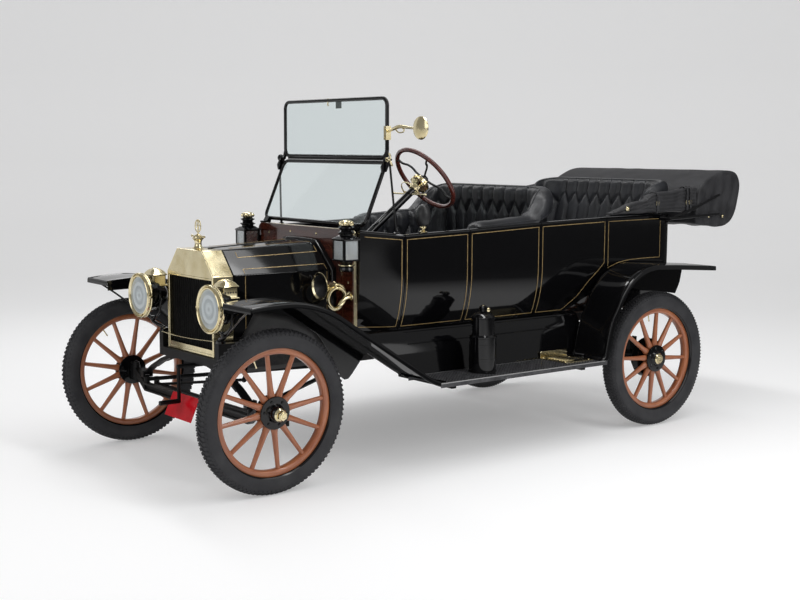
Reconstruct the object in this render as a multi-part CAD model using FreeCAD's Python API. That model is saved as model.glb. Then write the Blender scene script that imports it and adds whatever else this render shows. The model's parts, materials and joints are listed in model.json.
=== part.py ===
import FreeCAD, Part
import math
import os

# A light open touring car of the brass era, built up from its separate pieces.
# Millimetres, +Z up, the car faces -Y, and +X is its own left.
# Shapes are laid out with y = 0 at the front axle and z = 0 at the ground;
# save() then moves them so that y = 0 is the middle of the whole car's length.

Vector = FreeCAD.Vector
os.makedirs("parts", exist_ok=True)

# ---------------------------------------------------------------- driving dimensions

WHEELBASE = 2540.0
TRACK = 1422.0
TYRE_OD = 762.0
REAR_REACH = 890.0          # from the rear axle back to the end of the folded top

TYRE_R = TYRE_OD / 2
HALF_TRACK = TRACK / 2
AXLE_Z = TYRE_R
REAR_AXLE_Y = WHEELBASE
REAR_END_Y = WHEELBASE + REAR_REACH
MIDDLE_Y = (REAR_END_Y - TYRE_R) / 2

FIT = 0.3                   # air between pieces that seat on each other
RUNNING = 5.0               # air between a moving piece and what it passes
SHEET = 3.0                 # pressed steel sheet

# wheels
CAMBER = 3.0                # degrees, front wheels lean out at the top
FRONT_TYRE_WIDTH = 82.0
REAR_TYRE_WIDTH = 98.0
FELLOE_WIDTH = 44.0
FRONT_FELLOE_R = 301.0      # outside of the steel rim on the felloe
REAR_FELLOE_R = 290.0
FELLOE_DEPTH = 29.0
SPOKES = 12
SPOKE_ROOT_R = 15.0
SPOKE_TIP_R = 11.0
NAVE_R = 76.0               # hub flange that clamps the spoke roots
NAVE_WIDTH = 40.0
FLANGE_T = 7.0
SPINDLE_R = 17.0
FRONT_CAP_X = 808.0         # outer end of a front hub cap, from the centre line
REAR_CAP_X = 765.0
CAP_R = 31.0
DRUM_R = 108.0
DRUM_WIDTH = 34.0

# frame
RAIL_X = 300.0              # outer face of each side rail
FRAME_TOP = 640.0
RAIL_DEPTH = 75.0
RAIL_FLANGE = 38.0
RAIL_T = 6.0
FRAME_FRONT_Y = 5.0
FRAME_REAR_Y = REAR_AXLE_Y + 80

# steering
KINGPIN_X = 640.0
KINGPIN_R = 9.0
ARM_LENGTH = 118.0
ARM_Z = 326.0
STEER_WHEEL_AT = (270.0, 1226.0, 1402.0)
STEER_FOOT_AT = (218.0, 190.0, 585.0)
COLUMN_R = 19.0
RIM_R = 190.0

# radiator and hood
RADIATOR_FRONT_Y = -22.0
RADIATOR_DEPTH = 110.0
RADIATOR_TOP_X = 124.0
RADIATOR_SHOULDER_X = 228.0
RADIATOR_TOP_Z = 1069.0
RADIATOR_SHOULDER_Z = 952.0
RADIATOR_BOTTOM_Z = 563.0
TANK_BOTTOM_Z = 930.0
RADIATOR_BORDER = 24.0
HOOD_REAR_Y = 604.0
HOOD_REAR_TOP_Z = 1097.0
HOOD_REAR_BEND_X = 150.0
HOOD_REAR_BEND_Z = 1087.0
HOOD_REAR_SHOULDER_X = 286.0
HOOD_REAR_SHOULDER_Z = 958.0
HOOD_BOTTOM_Z = FRAME_TOP + 12.0
HINGE_R = 4.0

# firewall and windshield
FIREWALL_Y = 640.0
FIREWALL_T = 28.0
FIREWALL_X = 440.0
FIREWALL_TOP_Z = 1160.0
SCREEN_FOOT_Y = 680.0
SCREEN_FOOT_Z = 1178.0
SCREEN_HINGE_Y = 820.0
SCREEN_HINGE_Z = 1504.0
SCREEN_TOP_Z = 1815.0
SCREEN_X = 470.0            # half width over the frames
SCREEN_BAR = 20.0
SCREEN_CORNER_R = 48.0
GLASS_T = 5.0

# body
BODY_FRONT_Y = FIREWALL_Y + FIREWALL_T + FIT
BODY_X = 560.0
BODY_FRONT_X = 458.0
BODY_BOTTOM_Z = 656.0
BODY_SILL_X = 500.0
BODY_WALL = 34.0
BODY_REAR_Y = REAR_AXLE_Y + 360
BODY_CORNER_R = 140.0
FRONT_DOOR_Y = (869.0, 1291.0)
REAR_DOOR_Y = (1792.0, REAR_AXLE_Y - 241)
RAIL_LINE = ((BODY_FRONT_Y, 1160.0), (FRONT_DOOR_Y[0], 1138.0), (FRONT_DOOR_Y[1], 1150.0),
             (REAR_DOOR_Y[0], 1169.0), (REAR_DOOR_Y[1], 1181.0), (BODY_REAR_Y, 1186.0))
FLOOR_T = 14.0

# seats
CUSHION_TOP_Z = 1010.0
CUSHION_T = 160.0
FRONT_SEAT_Y = (1385.0, 1885.0)
REAR_SEAT_Y = (REAR_AXLE_Y - 145, REAR_AXLE_Y + 205)

# fenders and running boards
FENDER_X = (590.0, 830.0)
BOARD_X = (572.0, 830.0)
BOARD_TOP_Z = 430.0
BOARD_T = 22.0
BOARD_Y = (885.0, REAR_AXLE_Y - 500)


# steering and axle details
BEAM_TOP_Z = 335.0
BEAM_DEPTH = 42.0
BEAM_HALF_T = 16.0
BEAM_WEB = 8.0
BEAM_FLANGE = 10.0
EYE_HALF = 34.0             # half height of the axle eye that holds the king pin
EYE_R = 21.0
YOKE_T = 10.0
YOKE_HALF = 17.0
FORK_T = 14.0
SPINDLE_END = 24.0
HUB_BOSS = 6.0
CAP_NUT = 26.0
FRONT_PERCH_X = 520.0
FRONT_PERCH_TOP = 373.0
REAR_PERCH_X = 545.0
REAR_PERCH_TOP = AXLE_Z + 74
SPRING_WIDTH = 45.0
LEAF_T = 8.0
LEAVES = 5
WISHBONE_BALL_R = 26.0
PITMAN_BALL = (216.0, 150.0, 440.0)
PITMAN_BALL_R = 14.0
LINK_OPEN = 12.0            # air at the drag link's open end, through the steering's travel
CASE_R = 52.0
LEVER_REACH = 150.0
PLATE_HALF = 133.0          # blank red plate hung from the front axle
PLATE_Z = (243.0, 355.0)
PLATE_Y = (-48.0, -98.0)    # at its top and at its foot
RIM_T = 13.0
HOUSING_R = 132.0
TORQUE_Z = 466.0
RADIUS_ROD_Y = 1250.0

# engine and its neighbours
ENGINE_X = 125.0
ENGINE_Y = (150.0, 600.0)
ENGINE_TOP_Z = 905.0
PAN_Z = 440.0
GEARBOX_REAR_Y = 1090.0
TORQUE_FRONT_Y = GEARBOX_REAR_Y + 2
WISHBONE_Y = 928.0
WISHBONE_Z = PAN_Z - FIT - WISHBONE_BALL_R
EXHAUST_X = -172.0
PIPE_R = 22.0
MUFFLER_R = 58.0
MUFFLER_Z = 506.0
MUFFLER_Y = (REAR_AXLE_Y - 985, REAR_AXLE_Y - 530)
CRANK_Z = 500.0
CRANK_REACH = 90.0
CRANK_ARM = 170.0
RAIL_LOW_Z = FRAME_TOP - RAIL_DEPTH
CROSS_DEPTH = 44.0
CROSS_HALF = 36.0           # half the width of the two cross members
FRONT_CROSS_TOP = RADIATOR_BOTTOM_Z - FIT
REAR_CROSS_TOP = FRAME_TOP - 49
BRACKETS_Y = (BOARD_Y[0] + 115, BOARD_Y[1] - 140)
CORE_TUBES = 15

# smaller fittings
FIREWALL_CORNER_R = 40.0
STAY_R = 5.5
SCREEN_PIN_R = 5.0
HINGE_BACK = SCREEN_BAR / 2 + 3     # how far the frames stand behind the hinge
MIRROR_AT = (SCREEN_X + 274, SCREEN_HINGE_Y, SCREEN_HINGE_Z + 0.49 * (SCREEN_TOP_Z - SCREEN_HINGE_Z))
MIRROR_R = 56.0
WAIST_Z = 930.0
FENDER_ARC = (REAR_AXLE_Y - 104, 560.0, 350.0, 363.0)   # rear fender's curve: centre y, z and radii
DOOR_CUT_Y = REAR_DOOR_Y[1] - 305    # where the rear door's edge starts to rise over the fender
DOOR_CUT_AIR = 14.0
TOE_TOP_Z = 800.0
TOE_FOOT_Y = 840.0
FRONT_BOX_Y = (FRONT_SEAT_Y[0] + 20, FRONT_SEAT_Y[1] + 75)
REAR_BOX_Y = (REAR_SEAT_Y[0] + 20, REAR_SEAT_Y[1] + 5)
BOX_T = 16.0
PEDALS_X = (110.0, 165.0, 310.0)
HAND_LEVER_X = 420.0
ARM_T = 86.0
FENDER_LIP = 26.0
LAMP_AT = (354.0, -63.0, 818.0)
LAMP_R = 115.0
SIDE_LAMP_AT = (460.0, 586.0, 1068.0)
HORN_AT = (400.0, 470.0, 893.0)
BULB_AT = (540.0, 1000.0)
GENERATOR_AT = (692.0, 1270.0)
SCRAPER_X = (574.0, 775.0)
SCRAPER_Y = (BOARD_Y[1] - 255, BOARD_Y[1] - 55)
TOP_X = 625.0
IRON_PIVOT_Y = REAR_AXLE_Y + 205
IRON_PIVOT_Z = 1160.0


# ---------------------------------------------------------------- building helpers

def wire(points, place):
    """A closed outline of straight lines through points (a, b)."""
    corners = [place(*point) for point in points]
    return Part.makePolygon(corners + corners[:1])


def side_plate(points, x0, x1):
    """An outline of (y, z) points, from x0 to x1."""
    face = Part.Face(wire(points, lambda y, z: Vector(x0, y, z)))
    return face.extrude(Vector(x1 - x0, 0, 0))


def front_plate(points, y0, y1):
    """An outline of (x, z) points, from y0 to y1."""
    face = Part.Face(wire(points, lambda x, z: Vector(x, y0, z)))
    return face.extrude(Vector(0, y1 - y0, 0))


def plan_plate(points, z0, z1):
    """An outline of (x, y) points, from z0 to z1."""
    face = Part.Face(wire(points, lambda x, y: Vector(x, y, z0)))
    return face.extrude(Vector(0, 0, z1 - z0))


def block(x, y, z):
    """A block from (low, high) pairs."""
    return Part.makeBox(x[1] - x[0], y[1] - y[0], z[1] - z[0], Vector(x[0], y[0], z[0]))


def solid_from(faces):
    """One closed solid from flat faces that meet edge to edge, pointing outwards."""
    solid = Part.Solid(Part.makeShell(faces))
    if solid.Volume < 0:
        solid.reverse()
    return solid.removeSplitter()


def turned(points, base, axis, sides=12):
    """A turned piece with flats: (along, radius) points, carried round the axis from base."""
    forward = Vector(*axis).normalize()
    across = forward.cross(Vector(1, 0, 0) if abs(forward.z) > 0.9 else Vector(0, 0, 1)).normalize()
    up = across.cross(forward)
    start = Vector(*base)
    rings = []
    for along, radius in points:
        centre = start + forward * along
        ring = []
        for number in range(sides):
            angle = 2 * math.pi * (number + 0.5) / sides
            ring.append(centre + across * (radius * math.sin(angle)) + up * (radius * math.cos(angle)))
        rings.append(ring)
    faces = []
    for index, (along, radius) in enumerate(points):
        following = (index + 1) % len(points)
        if radius == 0 and points[following][1] == 0:
            continue
        here, there = rings[index], rings[following]
        for number in range(sides):
            turn = (number + 1) % sides
            corners = [here[number], here[turn]] if radius > 0 else [here[number]]
            corners += [there[turn], there[number]] if points[following][1] > 0 else [there[number]]
            faces.append(Part.Face(Part.makePolygon(corners + corners[:1])))
    return solid_from(faces)


def rod(start, end, radius, end_radius=None, sides=8):
    """A bar between two points, tapered if end_radius is given."""
    a = Vector(*start)
    length = (Vector(*end) - a).Length
    tip = radius if end_radius is None else end_radius
    return turned([(0, 0), (0, radius), (length, tip), (length, 0)], a, Vector(*end) - a, sides)


def knob(centre, radius, sides=8):
    """A small ball."""
    rows = [(-radius * math.cos(math.radians(a)), radius * math.sin(math.radians(a)))
            for a in (0, 40, 75, 105, 140, 180)]
    rows[0] = (-radius, 0)
    rows[-1] = (radius, 0)
    return turned(rows, centre, (0, 0, 1), sides)


def corner_points(a, b, radius, first, last, steps=2):
    """Points along a rounded corner centred on (a, b), between two angles in degrees."""
    points = []
    for step in range(steps + 1):
        angle = math.radians(between(first, last, step / float(steps)))
        points.append((a + radius * math.cos(angle), b + radius * math.sin(angle)))
    return points


def panel(outer, offset):
    """A thin four-cornered panel folded along one diagonal; its inner face is moved by offset."""
    inner = [corner + offset for corner in outer]
    a, b, c, d = outer
    e, f, g, h = inner
    loops = [(a, b, c), (a, c, d), (e, g, f), (e, h, g), (a, e, f, b), (b, f, g, c), (c, g, h, d), (d, h, e, a)]
    return solid_from([Part.Face(Part.makePolygon(list(loop) + [loop[0]])) for loop in loops])


def mirrored(shape):
    return shape.mirror(Vector(0, 0, 0), Vector(1, 0, 0))


def pair(shape):
    """The left piece and its mirror image on the right."""
    return [shape, mirrored(shape)]


def fused(shapes):
    joined = shapes[0].fuse(shapes[1:]) if len(shapes) > 1 else shapes[0]
    return joined.removeSplitter()


def save(name, *shapes):
    """Write one node, moved so that y = 0 is the middle of the car."""
    solids = []
    for shape in shapes:
        solids.extend(shape.Solids)
    node = Part.makeCompound(solids) if len(solids) > 1 else solids[0]
    node = node.copy()
    node.translate(Vector(0, -MIDDLE_Y, 0))
    node.exportStep("parts/%s.step" % name)


def between(a, b, t):
    return a + (b - a) * t


def arc_line(centre_y, centre_z, radius_y, radius_z, first, last, steps):
    """Points (y, z) along an arc of an ellipse between two angles in degrees."""
    points = []
    for step in range(steps + 1):
        angle = math.radians(between(first, last, step / float(steps)))
        points.append((centre_y + radius_y * math.cos(angle), centre_z + radius_z * math.sin(angle)))
    return points


def rail_z(y):
    """Height of the body's top rail at y."""
    for (y0, z0), (y1, z1) in zip(RAIL_LINE, RAIL_LINE[1:]):
        if y <= y1:
            return between(z0, z1, (y - y0) / (y1 - y0))
    return RAIL_LINE[-1][1]


# ---------------------------------------------------------------- wheels

RING_SIDES = 32
FELLOE_SIDES = 24
HUB_SIDES = 12
BARREL_R = SPINDLE_R + 14    # hub barrel inside the spoke roots


def tyre(width, felloe_r):
    """A tyre about the x axis: beads, walls, shoulders and a flat crown."""
    half = width / 2
    bead = felloe_r + FIT
    round_up = 1 / math.cos(math.pi / RING_SIDES)
    wall_r = between(bead, TYRE_R, 0.45)
    shoulder_r = between(bead, TYRE_R, 0.88)
    section = [(-half * 0.55, bead * round_up), (half * 0.55, bead * round_up), (half, wall_r),
               (half * 0.68, shoulder_r), (half * 0.28, TYRE_R * round_up),
               (-half * 0.28, TYRE_R * round_up), (-half * 0.68, shoulder_r), (-half, wall_r)]
    return turned(section, (0, 0, 0), (1, 0, 0), RING_SIDES)


def wooden_wheel(felloe_r):
    """Felloe and its twelve tapered spokes, all of wood."""
    half = FELLOE_WIDTH / 2
    inner_r = felloe_r - FELLOE_DEPTH
    felloe = turned([(-half, inner_r), (half, inner_r), (half, felloe_r), (-half, felloe_r)],
                    (0, 0, 0), (1, 0, 0), FELLOE_SIDES)
    root = turned([(-half + 2, BARREL_R + FIT), (half - 2, BARREL_R + FIT), (half - 2, NAVE_R - 4),
                   (-half + 2, NAVE_R - 4)], (0, 0, 0), (1, 0, 0), SPOKES)
    spokes = []
    for number in range(SPOKES):
        angle = 2 * math.pi * number / SPOKES
        out = Vector(0, math.cos(angle), math.sin(angle))
        spokes.append(rod(out * (NAVE_R - 16), out * (inner_r + 3), SPOKE_ROOT_R, SPOKE_TIP_R, 6))
    return fused([felloe, root] + spokes)


def front_hub(cap_reach):
    """Flanges, barrel and hexagon cap of a front hub, about the x axis."""
    nave_half = NAVE_WIDTH / 2 + FIT
    bore_r = (SPINDLE_R + FIT) / math.cos(math.pi / HUB_SIDES)
    outer = nave_half + FLANGE_T
    shell = turned([(-outer - HUB_BOSS, bore_r), (outer, bore_r), (outer, NAVE_R), (nave_half, NAVE_R),
                    (nave_half, BARREL_R), (-nave_half, BARREL_R), (-nave_half, NAVE_R),
                    (-outer, NAVE_R), (-outer, bore_r + 16), (-outer - HUB_BOSS, bore_r + 16)],
                   (0, 0, 0), (1, 0, 0), HUB_SIDES)
    nose = turned([(outer - 1, 0), (outer - 1, CAP_R + 9), (outer + 8, CAP_R + 9), (cap_reach - CAP_NUT, CAP_R),
                   (cap_reach - CAP_NUT, 0)], (0, 0, 0), (1, 0, 0), HUB_SIDES)
    nut = rod((cap_reach - CAP_NUT - 1, 0, 0), (cap_reach, 0, 0), CAP_R * 0.86, sides=6)
    return fused([shell, nose, nut])


def rear_hub(cap_reach):
    """Flange, barrel, brake drum and cap of a rear hub, about the x axis."""
    nave_half = NAVE_WIDTH / 2 + FIT
    bore_r = (SPINDLE_R + FIT) / math.cos(math.pi / HUB_SIDES)
    outer = nave_half + FLANGE_T
    drum_in = -outer - DRUM_WIDTH
    shell = turned([(-outer, bore_r), (outer, bore_r), (outer, NAVE_R), (nave_half, NAVE_R),
                    (nave_half, BARREL_R), (-nave_half, BARREL_R), (-nave_half, DRUM_R),
                    (drum_in, DRUM_R), (drum_in, DRUM_R - 5), (-outer, DRUM_R - 5)],
                   (0, 0, 0), (1, 0, 0), HUB_SIDES)
    nose = turned([(outer - 1, 0), (outer - 1, CAP_R), (cap_reach, CAP_R - 7), (cap_reach, 0)],
                  (0, 0, 0), (1, 0, 0), HUB_SIDES)
    return fused([shell, nose])


def set_wheel(shape, side, y, camber):
    """Put a wheel piece made about the x axis on its spindle, side +1 left or -1 right."""
    placed = shape.copy()
    placed.rotate(Vector(0, 0, 0), Vector(0, 1, 0), camber)
    placed.translate(Vector(HALF_TRACK, y, AXLE_Z))
    return placed if side > 0 else mirrored(placed)


WHEELS = (
    # name, y, camber, tyre width, felloe radius, hub
    ("front", 0.0, CAMBER, FRONT_TYRE_WIDTH, FRONT_FELLOE_R, front_hub(FRONT_CAP_X - HALF_TRACK)),
    ("rear", REAR_AXLE_Y, 0.0, REAR_TYRE_WIDTH, REAR_FELLOE_R, rear_hub(REAR_CAP_X - HALF_TRACK)),
)

for name, y, camber, width, felloe_r, hub in WHEELS:
    rubber = tyre(width, felloe_r)
    wood = wooden_wheel(felloe_r)
    for side, side_name in ((1, "left"), (-1, "right")):
        save("tyre_%s_%s" % (name, side_name), set_wheel(rubber, side, y, camber))
        save("wheel_%s_%s" % (name, side_name), set_wheel(wood, side, y, camber),
             set_wheel(hub, side, y, camber))


# ---------------------------------------------------------------- front axle and steering

def shackle_plates(x, y, low, high):
    """The two plates that hold a spring's end, fore and aft of it."""
    near = SPRING_WIDTH / 2 + FIT
    return [block((x - 16, x + 16), sorted((y + way * near, y + way * (near + 5))), (low, high))
            for way in (-1, 1)]


def front_axle():
    """Forged beam with its raised eyes, spring perches and the wishbone back to its ball."""
    low = BEAM_TOP_Z - BEAM_DEPTH
    half = [(-1, BEAM_TOP_Z), (FRONT_PERCH_X, BEAM_TOP_Z), (KINGPIN_X - EYE_R, AXLE_Z + 18),
            (KINGPIN_X, AXLE_Z + 18), (KINGPIN_X, AXLE_Z - 22), (KINGPIN_X - EYE_R, AXLE_Z - 22),
            (FRONT_PERCH_X, low), (-1, low)]
    beam = front_plate(half, -BEAM_HALF_T, BEAM_HALF_T)
    for y0, y1 in ((-BEAM_HALF_T - 1, -BEAM_WEB / 2), (BEAM_WEB / 2, BEAM_HALF_T + 1)):
        beam = beam.cut(block((-2, FRONT_PERCH_X), (y0, y1), (low + BEAM_FLANGE, BEAM_TOP_Z - BEAM_FLANGE)))
    eye = rod((KINGPIN_X, 0, AXLE_Z - EYE_HALF), (KINGPIN_X, 0, AXLE_Z + EYE_HALF), EYE_R)
    pin_bore = rod((KINGPIN_X, 0, AXLE_Z - EYE_HALF - 1), (KINGPIN_X, 0, AXLE_Z + EYE_HALF + 1),
                   (KINGPIN_R + FIT) / math.cos(math.pi / 8))
    perch = rod((FRONT_PERCH_X, 0, BEAM_TOP_Z - 5), (FRONT_PERCH_X, 0, FRONT_PERCH_TOP), 15)
    seat = block((FRONT_PERCH_X - 16, FRONT_PERCH_X + 16), (-SPRING_WIDTH / 2 - 5, SPRING_WIDTH / 2 + 5),
                 (FRONT_PERCH_TOP - 6, FRONT_PERCH_TOP))
    plates = shackle_plates(FRONT_PERCH_X, 0, FRONT_PERCH_TOP - 6, FRONT_PERCH_TOP + 30)
    stay = rod((FRONT_PERCH_X, 0, BEAM_TOP_Z + 18), (12, WISHBONE_Y - 14, WISHBONE_Z), 11)
    left = fused([beam, eye, perch, seat, stay] + plates).cut(pin_bore)
    return fused([left, mirrored(left), knob((0, WISHBONE_Y, WISHBONE_Z), WISHBONE_BALL_R)])


def knuckle():
    """Left steering knuckle: forked yoke, king pin, spindle and the arm that points back."""
    inner = KINGPIN_X + EYE_R + 2
    outer = inner + YOKE_T
    fork_low = EYE_HALF + FIT
    fork_high = fork_low + FORK_T
    parts = []
    for z0, z1 in ((-fork_high, -fork_low), (fork_low, fork_high)):
        parts.append(rod((KINGPIN_X, 0, AXLE_Z + z0), (KINGPIN_X, 0, AXLE_Z + z1), EYE_R - 2))
        parts.append(block((KINGPIN_X, outer), (-YOKE_HALF, YOKE_HALF), (AXLE_Z + z0, AXLE_Z + z1)))
    parts.append(block((inner, outer), (-YOKE_HALF, YOKE_HALF), (AXLE_Z - fork_high, AXLE_Z + fork_high)))
    parts.append(rod((KINGPIN_X, 0, AXLE_Z - fork_high - 8), (KINGPIN_X, 0, AXLE_Z + fork_high + 8), KINGPIN_R))
    lean = math.radians(CAMBER)
    root_x = outer - 4
    parts.append(rod((root_x, 0, AXLE_Z + (HALF_TRACK - root_x) * math.tan(lean)),
                     (HALF_TRACK + SPINDLE_END * math.cos(lean), 0, AXLE_Z - SPINDLE_END * math.sin(lean)),
                     SPINDLE_R, sides=HUB_SIDES))
    parts.append(rod((KINGPIN_X, 0, ARM_Z), (KINGPIN_X, ARM_LENGTH, ARM_Z), 9))
    parts.append(rod((KINGPIN_X, ARM_LENGTH, ARM_Z - 12), (KINGPIN_X, ARM_LENGTH, ARM_Z + 12), 15))
    return fused(parts)


def tie_rod():
    """The rod that joins both steering arms, and the drag link from its right end."""
    eye_top = ARM_Z - 12 - FIT
    cross = rod((-KINGPIN_X, ARM_LENGTH, eye_top - 12), (KINGPIN_X, ARM_LENGTH, eye_top - 12), 9)
    eyes = [rod((x, ARM_LENGTH, eye_top - 24), (x, ARM_LENGTH, eye_top), 15) for x in (-KINGPIN_X, KINGPIN_X)]
    ball = Vector(*PITMAN_BALL)
    link_start = Vector(-KINGPIN_X + 40, ARM_LENGTH, eye_top - 12)
    reach = (ball - link_start).normalize()
    link = rod(link_start, ball - reach * (PITMAN_BALL_R + LINK_OPEN), 8)
    return fused([cross, link] + eyes)


save("front_axle", front_axle())
plate_top_y, plate_low_y = PLATE_Y
plate_sheet = side_plate([(plate_top_y, PLATE_Z[1]), (plate_top_y - 3, PLATE_Z[1]), (plate_low_y - 3, PLATE_Z[0]),
                          (plate_low_y, PLATE_Z[0])], -PLATE_HALF, PLATE_HALF)
hooks = pair(block((58, 72), (plate_top_y - 12, -BEAM_HALF_T - FIT),
                   (BEAM_TOP_Z - BEAM_FLANGE + 2, BEAM_TOP_Z - 2)))
save("blank_plate", fused([plate_sheet] + hooks))
left_knuckle = knuckle()
save("knuckle_left", left_knuckle)
save("knuckle_right", mirrored(left_knuckle))
save("tie_rod", tie_rod())

foot = Vector(*STEER_FOOT_AT)
wheel_centre = Vector(*STEER_WHEEL_AT)
column_axis = (wheel_centre - foot).normalize()
COLUMN_LENGTH = (wheel_centre - foot).Length
CASE_AT = COLUMN_LENGTH - 70
BOSS_AT = CASE_AT + 52 + 1


def on_column(distance):
    """A point on the column's axis, measured up from its foot."""
    return foot + column_axis * distance


side_way = column_axis.cross(Vector(0, 0, 1)).normalize()
up_way = side_way.cross(column_axis).normalize()

column = rod(on_column(0), on_column(CASE_AT + 6), COLUMN_R, sides=HUB_SIDES)
case = turned([(0, 0), (0, COLUMN_R + 6), (14, CASE_R - 6), (22, CASE_R), (42, CASE_R),
               (52, CASE_R - 14), (52, 0)], on_column(CASE_AT), column_axis, HUB_SIDES)
quadrant_at = on_column(CASE_AT - 58)
levers = rod(quadrant_at - side_way * LEVER_REACH, quadrant_at + side_way * LEVER_REACH, 5)
bracket = block((STEER_FOOT_AT[0], RAIL_X - RAIL_FLANGE - FIT), (STEER_FOOT_AT[1] + 10, STEER_FOOT_AT[1] + 50),
                (FRAME_TOP - RAIL_DEPTH + RAIL_T, FRAME_TOP - RAIL_T))
save("steering_column", fused([column, case, levers, bracket]))

boss = turned([(0, 0), (0, 30), (24, 24), (24, 0)], on_column(BOSS_AT), column_axis)
rim = turned([(-RIM_T, RIM_R), (0, RIM_R - RIM_T), (RIM_T, RIM_R), (0, RIM_R + RIM_T)],
             wheel_centre, column_axis, 20)
spider = []
for number in range(4):
    turn = math.radians(45 + 90 * number)
    out = side_way * math.cos(turn) + up_way * math.sin(turn)
    spider.append(rod(on_column(BOSS_AT + 14) + out * 18, wheel_centre + out * (RIM_R - 4), 8, 6, 6))
save("steering_wheel", fused([boss, rim] + spider))

pitman_top = on_column(-1)
pitman_eye = on_column(-15)
save("pitman_arm", fused([rod(pitman_top, on_column(-27), COLUMN_R + 4, sides=12),
                          rod(pitman_eye, PITMAN_BALL, 10, 8), knob(PITMAN_BALL, PITMAN_BALL_R)]))


# ---------------------------------------------------------------- rear axle, springs and frame

def rear_axle():
    """Differential housing and its tubes, the torque tube and the two radius rods."""
    tube_end = HALF_TRACK - NAVE_WIDTH / 2 - FLANGE_T - DRUM_WIDTH - 8
    parts = [turned([(-tube_end, 0), (-tube_end, 38), (-150, 38), (-84, 88), (-46, HOUSING_R),
                     (46, HOUSING_R), (84, 88), (150, 38), (tube_end, 38), (tube_end, 0)],
                    (0, REAR_AXLE_Y, AXLE_Z), (1, 0, 0), HUB_SIDES)]
    stub_end = HALF_TRACK + SPINDLE_END
    parts.append(rod((-stub_end, REAR_AXLE_Y, AXLE_Z), (stub_end, REAR_AXLE_Y, AXLE_Z), SPINDLE_R,
                     sides=HUB_SIDES))
    for side in (-1, 1):
        parts.append(rod((side * (tube_end - 10), REAR_AXLE_Y, AXLE_Z), (side * tube_end, REAR_AXLE_Y, AXLE_Z),
                         DRUM_R - 10, sides=HUB_SIDES))
        parts.append(rod((side * (tube_end - 24), REAR_AXLE_Y - 20, AXLE_Z - 6),
                         (side * 20, RADIUS_ROD_Y, TORQUE_Z - 14), 11))
        x = side * REAR_PERCH_X
        perch_y = (REAR_AXLE_Y - SPRING_WIDTH / 2 - 5, REAR_AXLE_Y + SPRING_WIDTH / 2 + 5)
        parts.append(block((x - 16, x + 16), perch_y, (AXLE_Z, REAR_PERCH_TOP)))
        parts += shackle_plates(x, REAR_AXLE_Y, REAR_PERCH_TOP - 6, REAR_PERCH_TOP + 30)
    parts.append(rod((0, REAR_AXLE_Y - 60, AXLE_Z + 4), (0, TORQUE_FRONT_Y, TORQUE_Z), 36, 28, 8))
    return fused(parts)


save("rear_axle", rear_axle())


def spring(y, reach, eye_z, crown_z, pack_t):
    """A transverse spring: one arched main leaf with shorter leaves stepped under it."""
    rise = crown_z - eye_z - LEAF_T
    half_top = []
    half_under = []
    for step in range(LEAVES + 1):
        x = reach * (1 - step / float(LEAVES))
        arch = eye_z + LEAF_T + rise * (1 - (x / reach) ** 2)
        drop = LEAF_T + (pack_t - LEAF_T) * step / LEAVES
        half_top.append((x, arch))
        half_under.append((x, arch - drop))
    stepped = []
    for (x0, z0), (x1, z1) in zip(half_under, half_under[1:]):
        stepped += [(x0, z0), (x1 + 1, z1 + (pack_t - LEAF_T) / LEAVES)]
    under = stepped + [half_under[-1]]
    outline = [(-x, z) for x, z in half_top[:-1]] + half_top[::-1] + under + [(-x, z) for x, z in under[-2::-1]]
    return front_plate(outline, y - SPRING_WIDTH / 2, y + SPRING_WIDTH / 2)


save("springs", spring(0.0, FRONT_PERCH_X + 14, FRONT_PERCH_TOP + FIT, FRONT_CROSS_TOP - RAIL_T - FIT, 38.0),
     spring(REAR_AXLE_Y, REAR_PERCH_X + 14, REAR_PERCH_TOP + FIT, REAR_CROSS_TOP - RAIL_T - FIT, 44.0))


def side_rail(y0, y1):
    """A side rail: web outside, flanges turned in."""
    inner = RAIL_X - RAIL_FLANGE
    web = block((RAIL_X - RAIL_T, RAIL_X), (y0, y1), (RAIL_LOW_Z, FRAME_TOP))
    flanges = [block((inner, RAIL_X), (y0, y1), (z, z + RAIL_T)) for z in (RAIL_LOW_Z, FRAME_TOP - RAIL_T)]
    return fused([web] + flanges)


def cross_member(y, top):
    """A pressed channel from rail to rail, open downwards over the spring."""
    base = block((-RAIL_X, RAIL_X), (y - CROSS_HALF, y + CROSS_HALF), (top - RAIL_T, top))
    walls = [block((-RAIL_X, RAIL_X), sorted((y + way * CROSS_HALF, y + way * (CROSS_HALF - RAIL_T))),
                   (top - CROSS_DEPTH, top)) for way in (-1, 1)]
    return fused([base] + walls)


def board_bracket(y):
    """A forged arm out under the running board."""
    high = BOARD_TOP_Z - BOARD_T - FIT
    arm = [(RAIL_X - 3, RAIL_LOW_Z + 40), (RAIL_X - 3, RAIL_LOW_Z), (RAIL_X + 60, high - 20),
           (BOARD_X[1] - 40, high - 20), (BOARD_X[1] - 40, high), (RAIL_X + 90, high),
           (RAIL_X + 20, RAIL_LOW_Z + 40)]
    return front_plate(arm, y - 14, y + 14)


frame_parts = pair(side_rail(FRAME_FRONT_Y, FRAME_REAR_Y))
frame_parts += [cross_member(0.0, FRONT_CROSS_TOP), cross_member(REAR_AXLE_Y, REAR_CROSS_TOP)]
frame_parts += pair(block((RAIL_X - RAIL_FLANGE, RAIL_X), (-CROSS_HALF, CROSS_HALF),
                          (FRONT_CROSS_TOP - CROSS_DEPTH, FRAME_TOP)))
for y in BRACKETS_Y:
    frame_parts += pair(board_bracket(y))
save("frame", fused(frame_parts))


# ---------------------------------------------------------------- engine, exhaust and crank

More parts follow.
